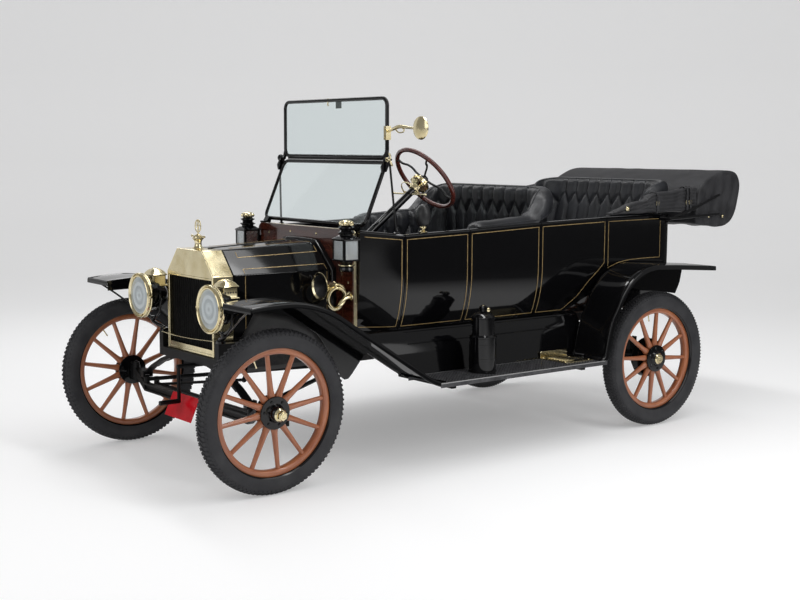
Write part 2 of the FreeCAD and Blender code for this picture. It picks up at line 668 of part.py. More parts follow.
engine = fused([
    block((-ENGINE_X, ENGINE_X - 25), ENGINE_Y, (599, ENGINE_TOP_Z - 60)),
    block((-ENGINE_X + 20, ENGINE_X - 45), (ENGINE_Y[0] + 15, ENGINE_Y[1] - 15),
          (ENGINE_TOP_Z - 61, ENGINE_TOP_Z)),
    front_plate([(-ENGINE_X, 600), (-ENGINE_X + 30, PAN_Z + 30), (-50, PAN_Z), (50, PAN_Z),
                 (ENGINE_X - 30, PAN_Z + 30), (ENGINE_X, 600)], ENGINE_Y[0] - 10, ENGINE_Y[1]),
    rod((0, ENGINE_Y[1] - 5, 531), (0, ENGINE_Y[1] + 125, 531), 100, sides=12),
    side_plate([(ENGINE_Y[1] + 120, PAN_Z), (GEARBOX_REAR_Y - 70, PAN_Z), (GEARBOX_REAR_Y, PAN_Z - 18 + 36),
                (GEARBOX_REAR_Y, 490), (GEARBOX_REAR_Y - 70, 590), (ENGINE_Y[1] + 120, 622)], -95, 95),
])
save("engine", engine)

manifold_x = (EXHAUST_X - PIPE_R, -ENGINE_X - FIT)
exhaust = fused([
    block(manifold_x, (ENGINE_Y[0] + 30, ENGINE_Y[1] - 30), (690, 745)),
    rod((EXHAUST_X, ENGINE_Y[1] - 60, 720), (EXHAUST_X, ENGINE_Y[1] - 20, 500), PIPE_R),
    rod((EXHAUST_X, ENGINE_Y[1] - 30, 505), (EXHAUST_X, MUFFLER_Y[0] + 5, 505), PIPE_R),
    knob((EXHAUST_X, ENGINE_Y[1] - 22, 505), PIPE_R + 2),
    rod((EXHAUST_X, MUFFLER_Y[0], MUFFLER_Z), (EXHAUST_X, MUFFLER_Y[1], MUFFLER_Z), MUFFLER_R, sides=12),
    rod((EXHAUST_X, MUFFLER_Y[1] - 5, MUFFLER_Z), (EXHAUST_X, MUFFLER_Y[1] + 70, MUFFLER_Z), 14),
    block((-RAIL_X + 6, EXHAUST_X - 20), (MUFFLER_Y[1] - 240, MUFFLER_Y[1] - 220),
          (MUFFLER_Z + MUFFLER_R - 16, RAIL_LOW_Z - FIT)),
])
save("exhaust", exhaust)

arm_y = -CRANK_REACH
save("crank", fused([
    rod((0, ENGINE_Y[0] - 10 - FIT, CRANK_Z), (0, arm_y - 8, CRANK_Z), 11),
    rod((0, arm_y, CRANK_Z + 8), (0, arm_y, CRANK_Z - CRANK_ARM - 8), 9),
    rod((0, arm_y, CRANK_Z - CRANK_ARM), (0, arm_y - 105, CRANK_Z - CRANK_ARM), 12),
]))


# ---------------------------------------------------------------- radiator

def whole(left_half):
    """A closed outline from its left half, listed from the top down; points on the middle stay single."""
    return left_half + [(-x, z) for x, z in reversed(left_half) if x > 0]


radiator_rear_y = RADIATOR_FRONT_Y + RADIATOR_DEPTH
core_x = RADIATOR_SHOULDER_X - RADIATOR_BORDER
core_low = RADIATOR_BOTTOM_Z + RADIATOR_BORDER
shell = front_plate(whole([(RADIATOR_TOP_X, RADIATOR_TOP_Z), (RADIATOR_SHOULDER_X, RADIATOR_SHOULDER_Z),
                           (RADIATOR_SHOULDER_X, RADIATOR_BOTTOM_Z)]), RADIATOR_FRONT_Y, radiator_rear_y)
opening = block((-core_x, core_x), (RADIATOR_FRONT_Y - 1, radiator_rear_y + 1), (core_low, TANK_BOTTOM_Z))
neck_y = RADIATOR_FRONT_Y + 50
neck_at = (0, neck_y, RADIATOR_TOP_Z)
neck = turned([(-4, 0), (-4, 42), (8, 36), (16, 32), (50, 32), (50, 36), (66, 36), (72, 22), (72, 0)],
              neck_at, (0, 0, 1), 10)
cap_bar = rod((-68, neck_y, RADIATOR_TOP_Z + 62), (68, neck_y, RADIATOR_TOP_Z + 62), 8)
gauge_z = RADIATOR_TOP_Z + 112
gauge = rod((0, neck_y - 8, gauge_z), (0, neck_y + 8, gauge_z), 34, sides=12)
gauge_stem = rod((0, neck_y, RADIATOR_TOP_Z + 70), (0, neck_y, gauge_z - 20), 8)
save("radiator_shell", fused([shell.cut(opening), neck, cap_bar, gauge, gauge_stem]))

fin_x = core_x - FIT
core_z = (core_low + FIT, TANK_BOTTOM_Z - FIT)
core_y = (RADIATOR_FRONT_Y + 14, radiator_rear_y - 14)
core = [block((-fin_x, fin_x), (core_y[0] + 8, core_y[1]), core_z)]
for number in range(CORE_TUBES):
    x = between(-fin_x + 6, fin_x - 6, number / (CORE_TUBES - 1.0))
    core.append(block((x - 4, x + 4), (core_y[0], core_y[0] + 9), core_z))
save("radiator_core", fused(core))


# ---------------------------------------------------------------- hood

hood_front_y = radiator_rear_y + RUNNING
# each line runs from the radiator back to the firewall
hood_ridge = (Vector(0, hood_front_y, RADIATOR_TOP_Z + 5), Vector(0, HOOD_REAR_Y, HOOD_REAR_TOP_Z))
hood_bend = (Vector(RADIATOR_TOP_X, hood_front_y, RADIATOR_TOP_Z),
             Vector(HOOD_REAR_BEND_X, HOOD_REAR_Y, HOOD_REAR_BEND_Z))
hood_shoulder = (Vector(RADIATOR_SHOULDER_X, hood_front_y, RADIATOR_SHOULDER_Z),
                 Vector(HOOD_REAR_SHOULDER_X, HOOD_REAR_Y, HOOD_REAR_SHOULDER_Z))
hood_foot = (Vector(RADIATOR_SHOULDER_X, hood_front_y, HOOD_BOTTOM_Z),
             Vector(HOOD_REAR_SHOULDER_X, HOOD_REAR_Y, HOOD_BOTTOM_Z))


def strip_panel(first, second, offset):
    """A panel between two of the hood's lines."""
    return panel([first[0], first[1], second[1], second[0]], offset)


down = Vector(0, 0, -SHEET)
ridge_edge = tuple(point + Vector(HINGE_R + FIT, 0, 1 - HINGE_R) for point in hood_ridge)
shoulder_edge = tuple(point + Vector(-1, 0, 3) for point in hood_shoulder)
top_panel = fused([strip_panel(ridge_edge, hood_bend, down), strip_panel(hood_bend, shoulder_edge, down)])
side_edge = tuple(point + Vector(0, 0, -FIT) for point in hood_shoulder)
side_panel = strip_panel(side_edge, hood_foot, Vector(-SHEET, 0, 0))
save("hood_top_left", top_panel)
save("hood_top_right", mirrored(top_panel))
save("hood_side_left", side_panel)
save("hood_side_right", mirrored(side_panel))


def hood_outline(grow, low):
    """The hood's rear outline, grown outwards."""
    return whole([(0, HOOD_REAR_TOP_Z + grow), (HOOD_REAR_BEND_X + grow * 0.4, HOOD_REAR_BEND_Z + grow),
                  (HOOD_REAR_SHOULDER_X + grow, HOOD_REAR_SHOULDER_Z + grow * 0.4),
                  (HOOD_REAR_SHOULDER_X + grow, low)])


former_y = (HOOD_REAR_Y + RUNNING, FIREWALL_Y - FIT)
former = front_plate(hood_outline(9, HOOD_BOTTOM_Z), *former_y)
former = former.cut(front_plate(hood_outline(-12, HOOD_BOTTOM_Z - 1), former_y[0] - 1, former_y[1] + 1))
ridge_rod = rod(hood_ridge[0] + Vector(0, FIT - RUNNING, -HINGE_R),
                hood_ridge[1] + Vector(0, 20, -HINGE_R + 0.5), HINGE_R)
save("hood_former", fused([former, ridge_rod]))


# ---------------------------------------------------------------- firewall and windshield

r = FIREWALL_CORNER_R
wall_edge = [(FIREWALL_X, FRAME_TOP + FIT)]
wall_edge += corner_points(FIREWALL_X - r, FIREWALL_TOP_Z - r, r, 0, 90)
wall_edge += corner_points(-FIREWALL_X + r, FIREWALL_TOP_Z - r, r, 90, 180)
wall_edge += [(-FIREWALL_X, FRAME_TOP + FIT)]
column_hole = rod(on_column(0), on_column(CASE_AT), COLUMN_R + 2 * FIT, sides=HUB_SIDES)
save("firewall", front_plate(wall_edge, FIREWALL_Y, FIREWALL_Y + FIREWALL_T).cut(column_hole))


def window(length):
    """A window frame standing on y = 0, x across and z up, with its pane."""

    def outline(inset, radius):
        x = SCREEN_X - inset
        low = inset
        high = length - inset
        points = corner_points(x - radius, low + radius, radius, -90, 0)
        points += corner_points(x - radius, high - radius, radius, 0, 90)
        points += corner_points(-x + radius, high - radius, radius, 90, 180)
        points += corner_points(-x + radius, low + radius, radius, 180, 270)
        return points

    inner_r = SCREEN_CORNER_R - SCREEN_BAR
    outer = front_plate(outline(0, SCREEN_CORNER_R), -SCREEN_BAR / 2, SCREEN_BAR / 2)
    hole = front_plate(outline(SCREEN_BAR, inner_r), -SCREEN_BAR, SCREEN_BAR)
    pane = front_plate(outline(SCREEN_BAR + FIT, inner_r - FIT), -GLASS_T / 2, GLASS_T / 2)
    return outer.cut(hole), pane


hinge_clear = SCREEN_BAR * 0.6
slope_y = SCREEN_HINGE_Y - SCREEN_FOOT_Y
slope_z = SCREEN_HINGE_Z - SCREEN_FOOT_Z
lower_frame, lower_pane = window(math.hypot(slope_y, slope_z) - hinge_clear)
for piece in (lower_frame, lower_pane):
    piece.translate(Vector(0, HINGE_BACK, 0))
    piece.rotate(Vector(0, 0, 0), Vector(1, 0, 0), -math.degrees(math.atan2(slope_y, slope_z)))
    piece.translate(Vector(0, SCREEN_FOOT_Y, SCREEN_FOOT_Z))
ear = rod((SCREEN_X - SCREEN_BAR, SCREEN_HINGE_Y, SCREEN_HINGE_Z),
          (SCREEN_X + 40, SCREEN_HINGE_Y, SCREEN_HINGE_Z), SCREEN_PIN_R)
wing_nut = rod((SCREEN_X + 20, SCREEN_HINGE_Y, SCREEN_HINGE_Z),
               (SCREEN_X + 34, SCREEN_HINGE_Y, SCREEN_HINGE_Z), 11, 7)
ear_strap = side_plate([(SCREEN_HINGE_Y - 26, SCREEN_HINGE_Z - 60), (SCREEN_HINGE_Y - 8, SCREEN_HINGE_Z + 9),
                        (SCREEN_HINGE_Y + 8, SCREEN_HINGE_Z + 9), (SCREEN_HINGE_Y + 12, SCREEN_HINGE_Z - 30),
                        (SCREEN_HINGE_Y - 4, SCREEN_HINGE_Z - 60)], SCREEN_X - 2, SCREEN_X + 8)
stay_y = 842.0
stay_foot = (BODY_X - 36, stay_y, max(rail_z(stay_y - 14), rail_z(stay_y + 14)) + FIT)
foot_pad = block((stay_foot[0] - 14, stay_foot[0] + 14), (stay_y - 14, stay_y + 14),
                 (stay_foot[2], stay_foot[2] + 8))
stay = rod((SCREEN_X + 26, SCREEN_HINGE_Y, SCREEN_HINGE_Z), (stay_foot[0], stay_y, stay_foot[2] + 4), STAY_R)
screen_foot = block((SCREEN_X - 90, SCREEN_X - 50), (SCREEN_FOOT_Y - 40, SCREEN_FOOT_Y + 4),
                    (FIREWALL_TOP_Z + FIT, SCREEN_FOOT_Z + 10))
fixed = [lower_frame]
for piece in (ear, wing_nut, ear_strap, stay, foot_pad, screen_foot):
    fixed += pair(piece)
save("windshield_lower", fused(fixed))
save("glass_lower", lower_pane)

upper_frame, upper_pane = window(SCREEN_TOP_Z - SCREEN_HINGE_Z - hinge_clear)
for piece in (upper_frame, upper_pane):
    piece.translate(Vector(0, SCREEN_HINGE_Y + HINGE_BACK, SCREEN_HINGE_Z + hinge_clear))
lug_x = (SCREEN_X - SCREEN_BAR + 2, SCREEN_X - 2 - FIT)
lug_boss = rod((lug_x[0], SCREEN_HINGE_Y, SCREEN_HINGE_Z), (lug_x[1], SCREEN_HINGE_Y, SCREEN_HINGE_Z),
               SCREEN_PIN_R + 4)
lug_arm = side_plate([(SCREEN_HINGE_Y - 6, SCREEN_HINGE_Z + 3), (SCREEN_HINGE_Y + 6, SCREEN_HINGE_Z - 3),
                      (SCREEN_HINGE_Y + HINGE_BACK, SCREEN_HINGE_Z + hinge_clear + 3),
                      (SCREEN_HINGE_Y + HINGE_BACK, SCREEN_HINGE_Z + hinge_clear + SCREEN_CORNER_R),
                      (SCREEN_HINGE_Y + HINGE_BACK - 9, SCREEN_HINGE_Z + hinge_clear + SCREEN_CORNER_R)], *lug_x)
lug_bore = rod((lug_x[0] - 1, SCREEN_HINGE_Y, SCREEN_HINGE_Z), (lug_x[1] + 1, SCREEN_HINGE_Y, SCREEN_HINGE_Z),
               (SCREEN_PIN_R + FIT) / math.cos(math.pi / 8))
lug = lug_boss.fuse(lug_arm).cut(lug_bore)
mirror_x, mirror_y, mirror_z = MIRROR_AT
mirror = turned([(-6, 0), (-6, MIRROR_R - 4), (0, MIRROR_R), (10, MIRROR_R - 8), (16, 0)],
                MIRROR_AT, (0, -1, 0), 16)
mirror_arm = rod((SCREEN_X - 6, mirror_y, mirror_z), (mirror_x - MIRROR_R + 6, mirror_y - 4, mirror_z), 8)
save("windshield_upper", fused([upper_frame, mirror, mirror_arm] + pair(lug)))
save("glass_upper", upper_pane)


# ---------------------------------------------------------------- body

def body_form(inset):
    """The body's full form, drawn in by inset: its plan, cross-section and side outline in one."""
    cutter = 10 if inset else 0
    x = BODY_X - inset
    sill_x = BODY_SILL_X - inset
    rear = BODY_REAR_Y - inset
    corner = BODY_CORNER_R - inset
    low = BODY_BOTTOM_Z - cutter
    high = rail_z(BODY_REAR_Y) + cutter + 60
    front = BODY_FRONT_Y - cutter
    plan = [(BODY_FRONT_X - inset, front), (x, FRONT_DOOR_Y[0])]
    plan += corner_points(x - corner, rear - corner, corner, 0, 90, 4)
    plan += corner_points(-x + corner, rear - corner, corner, 90, 180, 4)
    plan += [(-x, FRONT_DOOR_Y[0]), (-BODY_FRONT_X + inset, front)]
    tuck = [(sill_x, low), (between(sill_x, x, 0.42), between(BODY_BOTTOM_Z, WAIST_Z, 0.24)),
            (between(sill_x, x, 0.80), between(BODY_BOTTOM_Z, WAIST_Z, 0.60)), (x, WAIST_Z), (x, high)]
    section = tuck + [(-a, b) for a, b in reversed(tuck)]
    form = plan_plate(plan, low - 1, high + 1).common(front_plate(section, front - 1, rear + 1))
    if inset:
        return form
    side = [(BODY_FRONT_Y - 2, low - 2)] + list(RAIL_LINE) + [(rear + 2, RAIL_LINE[-1][1]), (rear + 2, low - 2)]
    return form.common(side_plate(side, -x - 2, x + 2))


def door_opening(door_y, cut_corner, grow):
    """A door's outline in (y, z), grown all round; the rear door's lower rear edge rises over the fender."""
    y0 = door_y[0] - grow
    y1 = door_y[1] + grow
    low = BODY_BOTTOM_Z - 20
    high = rail_z(y1) + 60
    if not cut_corner:
        return [(y0, low), (y1, low), (y1, high), (y0, high)]
    centre_y, centre_z, radius_y, radius_z = FENDER_ARC
    air = DOOR_CUT_AIR - grow
    rising = arc_line(centre_y, centre_z, radius_y + air, radius_z + air, 150, 118, 3)
    last_y, last_z = rising[-1]
    rising.append((y1, last_z + (y1 - last_y) * (last_z - rising[-2][1]) / (last_y - rising[-2][0])))
    return [(y0, low), (DOOR_CUT_Y + grow, low)] + rising + [(y1, high), (y0, high)]


def stretch(y0, y1):
    return block((-BODY_X - 50, BODY_X + 50), (y0, y1), (BODY_BOTTOM_Z - 50, BODY_BOTTOM_Z + 800))


body_shell = body_form(0).cut(body_form(BODY_WALL))
right = block((-BODY_X - 60, 0), (0, BODY_REAR_Y), (BODY_BOTTOM_Z - 60, BODY_BOTTOM_Z + 900))
left = mirrored(right)
half_gap = RUNNING / 2
front_doorway = side_plate(door_opening(FRONT_DOOR_Y, False, half_gap), -BODY_X - 40, 0)
rear_doorways = side_plate(door_opening(REAR_DOOR_Y, True, half_gap), -BODY_X - 40, BODY_X + 40)
front_door = side_plate(door_opening(FRONT_DOOR_Y, False, -half_gap), -BODY_X - 40, 0)
rear_doors = side_plate(door_opening(REAR_DOOR_Y, True, -half_gap), -BODY_X - 40, BODY_X + 40)
fixed_body = body_shell.cut(front_doorway).cut(rear_doorways)
save("cowl_panels", fixed_body.common(stretch(BODY_FRONT_Y - 5, FRONT_DOOR_Y[1])))
save("seat_panels", fixed_body.common(stretch(FRONT_DOOR_Y[1], REAR_DOOR_Y[0])))
save("rear_tub", fixed_body.common(stretch(REAR_DOOR_Y[0], BODY_REAR_Y + 5)))
save("door_front_right", body_shell.common(front_door))
save("door_rear_left", body_shell.common(rear_doors).common(left))
save("door_rear_right", body_shell.common(rear_doors).common(right))

floor_x = BODY_SILL_X - BODY_WALL - FIT
floor_z = (FRAME_TOP + FIT, FRAME_TOP + FIT + FLOOR_T)
seat_base_z = CUSHION_TOP_Z - CUSHION_T - FIT


def seat_box(y):
    """A wooden seat frame, open below, between the body's sides."""
    outer = block((-floor_x, floor_x), y, (floor_z[0], seat_base_z))
    hollow = block((-floor_x + BOX_T, floor_x - BOX_T), (y[0] + BOX_T, y[1] - BOX_T),
                   (floor_z[0] - 1, seat_base_z - BOX_T))
    return outer.cut(hollow)


toe_x = BODY_FRONT_X - BODY_WALL - 30
toe_board = side_plate([(BODY_FRONT_Y + FIT, TOE_TOP_Z), (BODY_FRONT_Y + FIT, TOE_TOP_Z - 20),
                        (TOE_FOOT_Y, floor_z[0]), (TOE_FOOT_Y + 24, floor_z[0])], -toe_x, toe_x)
boards = block((-floor_x, floor_x), (TOE_FOOT_Y, BODY_REAR_Y - BODY_CORNER_R), floor_z)
save("floor", fused([boards, toe_board, seat_box(FRONT_BOX_Y), seat_box(REAR_BOX_Y)]).cut(column_hole))

control_foot = floor_z[1] + FIT + 3     # the slanted ends just clear the boards
pedals = []
for x in PEDALS_X:
    pedals.append(fused([rod((x, 862, control_foot), (x, 790, 842), 8),
                         block((x - 24, x + 24), (780, 794), (812, 868))]))
hand_lever = rod((HAND_LEVER_X, 1130, floor_z[1] + FIT + 0.6), (HAND_LEVER_X, 1096, 1085), 9)
save("controls", *(pedals + [hand_lever]))


# ---------------------------------------------------------------- seats

seat_x = BODY_X - BODY_WALL - 12
arm_x = seat_x - ARM_T
cushion_x = arm_x - 4
cushion_low = CUSHION_TOP_Z - CUSHION_T


def cushion(y):
    return block((-cushion_x, cushion_x), y, (cushion_low, CUSHION_TOP_Z))


front_rail = rail_z(FRONT_SEAT_Y[0])
back_y = FRONT_SEAT_Y[1]
front_y = FRONT_SEAT_Y[0]
front_back = side_plate([(back_y, cushion_low), (back_y + 84, cushion_low), (back_y + 103, 1240),
                         (back_y + 115, 1310), (back_y + 105, 1355), (back_y + 65, 1368),
                         (back_y + 20, 1345), (back_y + 3, 1290)], -seat_x, seat_x)
front_arm = side_plate([(front_y, cushion_low), (front_y - 45, front_rail + 16), (back_y - 148, 1203),
                        (back_y - 38, 1273), (back_y - 15, 1319), (back_y + 50, 1350),
                        (back_y + 50, cushion_low)], arm_x, seat_x)
front_cap = side_plate([(front_y - 40, front_rail + 8), (front_y - 30, front_rail + 34), (back_y - 148, 1207),
                        (back_y - 38, 1276), (back_y - 15, 1322), (back_y + 90, 1350), (back_y + 100, 1240),
                        (back_y - 95, 1185), (back_y - 99, 1176)], seat_x - 2, BODY_X + 2)
save("front_seat", cushion((FRONT_SEAT_Y[0], FRONT_SEAT_Y[1] - FIT)),
     fused([front_back] + pair(front_arm) + pair(front_cap)))

rear_inner = BODY_REAR_Y - BODY_WALL - 2
rear_arm_x = (BODY_X - BODY_CORNER_R + 10, BODY_X - BODY_CORNER_R + 70)
rear_y = BODY_REAR_Y
rear_back = side_plate([(REAR_SEAT_Y[1], cushion_low), (rear_inner - 16, cushion_low), (rear_inner - 2, 1196),
                        (rear_y + 30, 1200), (rear_y + 57, 1337), (rear_y + 40, 1378), (rear_y - 5, 1392),
                        (rear_y - 45, 1375), (rear_y - 65, 1320), (REAR_SEAT_Y[1] + 10, CUSHION_TOP_Z)],
                       -rear_arm_x[0], rear_arm_x[0])
rear_arm = side_plate([(REAR_SEAT_Y[0], cushion_low), (REAR_SEAT_Y[0] - 20, 1176), (rear_y - 260, 1215),
                       (rear_y - 130, 1290), (rear_y - 70, 1372), (rear_y - 20, 1388), (rear_y - 70, 1190),
                       (rear_y - 110, cushion_low)], rear_arm_x[0] - 4, rear_arm_x[1])
save("rear_seat", cushion((REAR_SEAT_Y[0], REAR_SEAT_Y[1] - FIT)).common(
    block((-rear_arm_x[0] + 8, rear_arm_x[0] - 8), REAR_SEAT_Y, (0, 2000))), fused([rear_back] + pair(rear_arm)))


# ---------------------------------------------------------------- fenders, aprons and running boards

def strip(line, thickness):
    """A bent strip's closed outline in (y, z): its top line and the same line lowered."""
    return list(line) + [(y, z - thickness) for y, z in reversed(line)]


board_seat_z = BOARD_TOP_Z + FIT
FRONT_FENDER = (arc_line(10, 330, 556, 556, 109.8, 57.9, 6)
                + [(858, board_seat_z + 14), (915, board_seat_z + SHEET)])
toe_y = BOARD_Y[1]
REAR_FENDER = ([(toe_y - 46, board_seat_z + SHEET), (toe_y - 12, board_seat_z + 14), (toe_y + 12, 560),
                (toe_y + 38, 650)] + arc_line(*FENDER_ARC, 155, 90, 5) + [(BODY_REAR_Y + 23, 893)])


def fender(line, valance_under):
    """A fender blade with its turned-down outer lip and the valance inside it."""
    blade = side_plate(strip(line, SHEET), FENDER_X[0], FENDER_X[1])
    lip = side_plate(strip(line, FENDER_LIP), FENDER_X[1] - SHEET, FENDER_X[1])
    under = side_plate([(y, z - 1) for y, z in line] + valance_under, FENDER_X[0], FENDER_X[0] + SHEET)
    board_space = block((FENDER_X[0] - 1, FENDER_X[1] + 1), (BOARD_Y[0] - 1, BOARD_Y[1] + 1), (0, board_seat_z))
    return fused([blade, lip, under]).cut(board_space)


front_fender = fender(FRONT_FENDER, [(925, board_seat_z), (420, board_seat_z - 6), (420, 560),
                                     (330, 690), (180, 780), (0, 826), (-178, 822)])
axle_y = REAR_AXLE_Y
rear_fender = fender(REAR_FENDER, [(axle_y + 340, 760), (axle_y + 220, 790), (axle_y - 170, 790),
                                   (axle_y - 310, 660), (toe_y + 110, board_seat_z - 6),
                                   (toe_y - 46, board_seat_z)])
save("front_fenders", *pair(front_fender))
save("rear_fenders", *pair(rear_fender))

apron_top = (floor_x + 4, BODY_BOTTOM_Z - FIT)
apron_outer = [apron_top, (BODY_SILL_X + 10, BODY_BOTTOM_Z - FIT - 4), (BOARD_X[0] - 24, 590),
               (BOARD_X[0] - FIT, BOARD_TOP_Z - 8)]
apron = front_plate(apron_outer + [(x - SHEET, z - SHEET) for x, z in reversed(apron_outer[1:])]
                    + [(apron_top[0], apron_top[1] - SHEET)], BOARD_Y[0], BOARD_Y[1])
save("aprons", *pair(apron))
tray = block((BOARD_X[0] + SHEET, BOARD_X[1] - SHEET), (BOARD_Y[0] - 1, BOARD_Y[1] + 1),
             (BOARD_TOP_Z - BOARD_T - 1, BOARD_TOP_Z - SHEET))
save("running_boards", *pair(block(BOARD_X, BOARD_Y, (BOARD_TOP_Z - BOARD_T, BOARD_TOP_Z)).cut(tray)))


# ---------------------------------------------------------------- lamps, horn and fittings

def headlamp():
    """Acetylene headlamp: rim, drum, dished back, chimney and its bracket."""
    x, y, z = LAMP_AT
    drum = turned([(-56, 0), (-56, LAMP_R), (-34, LAMP_R), (-26, LAMP_R - 16), (60, LAMP_R - 22),
                   (98, 60), (104, 0)],
                  (x, y, z), (0, 1, 0), 14)
    chimney = block((x - 45, x + 45), (y - 6, y + 74), (z + 60, z + 108))
    hood_top = side_plate([(y - 12, z + 104), (y + 80, z + 104), (y + 66, z + 126), (y + 34, z + 136),
                           (y + 2, z + 126)], x - 50, x + 50)
    foot_x = RAIL_X - RAIL_FLANGE / 2
    yoke = rod((x, y + 20, z - LAMP_R + 22), (x, y + 20, z - LAMP_R - 20), 13)
    post = rod((x, y + 20, z - LAMP_R - 14), (foot_x, -16, FRAME_TOP + 14), 10)
    seat = block((foot_x - 16, foot_x + 16), (-34, 4), (FRAME_TOP + FIT, FRAME_TOP + 16))
    return fused([drum, chimney, hood_top, yoke, post, seat])


save("headlamps", *pair(headlamp()))


def side_lamp():
    """Square oil lamp with its stepped chimney, oil font and bracket."""
    x, y, z = SIDE_LAMP_AT
    half = 50.0
    wall = FIREWALL_Y - FIT
    parts = [block((x - half, x + half), (y - half, y + half - 2), (z - 53, z + 52))]
    for size, low, high in ((56, 51, 62), (40, 61, 96), (46, 95, 104), (30, 103, 148)):
        parts.append(block((x - size, x + size), (y - size, min(y + size, wall - 2)), (z + low, z + high)))
    parts.append(turned([(0, 0), (0, 42), (10, 42), (52, 30), (52, 0)], (x, y, z - 52), (0, 0, -1), 8))
    parts.append(block((x - half + 4, FIREWALL_X - 2), (y + half - 4, wall), (z - 50, z + 20)))
    return fused(parts)


save("side_lamps", *pair(side_lamp()))

horn_x, horn_y, horn_z = HORN_AT
bell = turned([(0, 52), (0, 66), (8, 66), (30, 40), (90, 20), (90, 10), (26, 30)], HORN_AT, (0, 1, 0), 12)
coil = turned([(-12, 36), (-12, 60), (12, 60), (12, 36)], (horn_x + 8, horn_y + 88, horn_z - 56), (1, 0, 0), 8)
neck_bar = rod((horn_x, horn_y + 80, horn_z), (horn_x, horn_y + 130, horn_z - 6), 18)
horn_arm = block((horn_x - 6, horn_x + 6), (horn_y + 120, FIREWALL_Y - FIT), (horn_z - 20, horn_z + 8))
bulb_x, bulb_y = BULB_AT
bulb_seat = rail_z(bulb_y + 24) + FIT
bulb = turned([(0, 0), (0, 24), (6, 12), (22, 14), (36, 28), (74, 39), (112, 34), (140, 14), (146, 0)],
              (bulb_x, bulb_y, bulb_seat), (0, 0, 1), 8)
save("horn", fused([bell, neck_bar, coil, horn_arm]), bulb)

generator = turned([(0, 0), (0, 71), (186, 71), (194, 60), (286, 60), (296, 48), (310, 18),
                    (340, 18), (344, 0)], (GENERATOR_AT[0], GENERATOR_AT[1], BOARD_TOP_Z + FIT), (0, 0, 1), 12)
save("generator", generator)

plate_x, plate_y = SCRAPER_X, SCRAPER_Y
plate = block(plate_x, plate_y, (BOARD_TOP_Z + FIT, BOARD_TOP_Z + 6))
slot = block((plate_x[0] + 55, plate_x[1] - 55), (plate_y[0] + 50, plate_y[0] + 72),
             (BOARD_TOP_Z, BOARD_TOP_Z + 20))
flange = block((plate_x[1] - 6, plate_x[1]), plate_y, (BOARD_TOP_Z + FIT, BOARD_TOP_Z + 40))
save("boot_scraper", fused([plate.cut(slot), flange]))


# ---------------------------------------------------------------- folded top

end_y = REAR_END_Y
boot = side_plate([(end_y - 445, 1125), (end_y - 442, 1240), (end_y - 415, 1320), (end_y - 355, 1378),
                   (end_y - 240, 1424), (end_y - 130, 1438), (end_y - 50, 1418), (end_y, 1365),
                   (end_y - 5, 1290), (end_y - 38, 1205), (end_y - 100, 1130), (end_y - 159, 1095),
                   (end_y - 340, 1100)], -TOP_X, TOP_X)
plan = [(TOP_X, end_y - 446), (TOP_X, end_y - 60), (TOP_X - 60, end_y + 1)]
save("top_boot", boot.common(plan_plate(plan + [(-x, y) for x, y in reversed(plan)], 1000, 1500)))
iron_x = TOP_X + FIT + 8
irons = [rod((iron_x, IRON_PIVOT_Y, IRON_PIVOT_Z), (iron_x, end_y - 250, z), 8) for z in (1175, 1290)]
irons.append(rod((BODY_X + FIT, IRON_PIVOT_Y, IRON_PIVOT_Z), (iron_x + 10, IRON_PIVOT_Y, IRON_PIVOT_Z), 12))
bow_end_y = REAR_DOOR_Y[1] - 34      # the folded bows' front ends reach over the rear door's edge
bow_low_z = rail_z(BODY_REAR_Y) + 8
bows = side_plate([(bow_end_y, bow_low_z + 12), (bow_end_y + 45, bow_low_z + 20),
                   (bow_end_y + 155, bow_low_z + 64), (bow_end_y + 287, bow_low_z + 82),
                   (bow_end_y + 325, bow_low_z + 114), (end_y - 550, bow_low_z + 142),
                   (end_y - 446, bow_low_z + 152), (end_y - 446, bow_low_z), (bow_end_y + 20, bow_low_z)],
                  BODY_X + 12, TOP_X + 5)
save("top_irons", *pair(fused(irons + [bows])))
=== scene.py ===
import json
import math

import bmesh
import bpy
from mathutils import Matrix, Vector

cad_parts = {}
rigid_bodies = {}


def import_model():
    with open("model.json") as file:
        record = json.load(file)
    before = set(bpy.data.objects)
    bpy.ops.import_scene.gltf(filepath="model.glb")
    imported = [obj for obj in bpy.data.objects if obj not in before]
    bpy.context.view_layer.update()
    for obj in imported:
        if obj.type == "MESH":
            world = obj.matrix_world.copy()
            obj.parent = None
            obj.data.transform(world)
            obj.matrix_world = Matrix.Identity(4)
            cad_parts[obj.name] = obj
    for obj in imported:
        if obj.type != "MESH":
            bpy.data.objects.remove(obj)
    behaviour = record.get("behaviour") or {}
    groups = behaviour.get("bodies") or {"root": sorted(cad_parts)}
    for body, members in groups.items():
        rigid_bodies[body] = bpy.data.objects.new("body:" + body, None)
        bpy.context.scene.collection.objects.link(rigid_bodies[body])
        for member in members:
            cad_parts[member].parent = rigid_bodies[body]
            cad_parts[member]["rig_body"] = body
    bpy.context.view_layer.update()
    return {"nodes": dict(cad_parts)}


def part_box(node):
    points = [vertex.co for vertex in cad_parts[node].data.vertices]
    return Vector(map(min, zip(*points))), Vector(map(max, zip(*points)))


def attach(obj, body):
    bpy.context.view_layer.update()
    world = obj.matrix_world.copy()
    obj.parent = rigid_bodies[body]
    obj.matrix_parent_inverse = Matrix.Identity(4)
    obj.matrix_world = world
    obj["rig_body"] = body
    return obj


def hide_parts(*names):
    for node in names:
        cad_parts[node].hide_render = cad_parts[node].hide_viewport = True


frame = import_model()
nodes = frame["nodes"]


# ---- Frame rails, axles, springs and steering rods ------------------------------------------
# Pressed channel rails, a forged front axle, a torque-tube rear axle and two transverse leaf
# springs, all dipped in black enamel. They are forged or rolled, so their edges are softly round.

front_axle_y = sum(corner.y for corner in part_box("tyre_front_left")) / 2


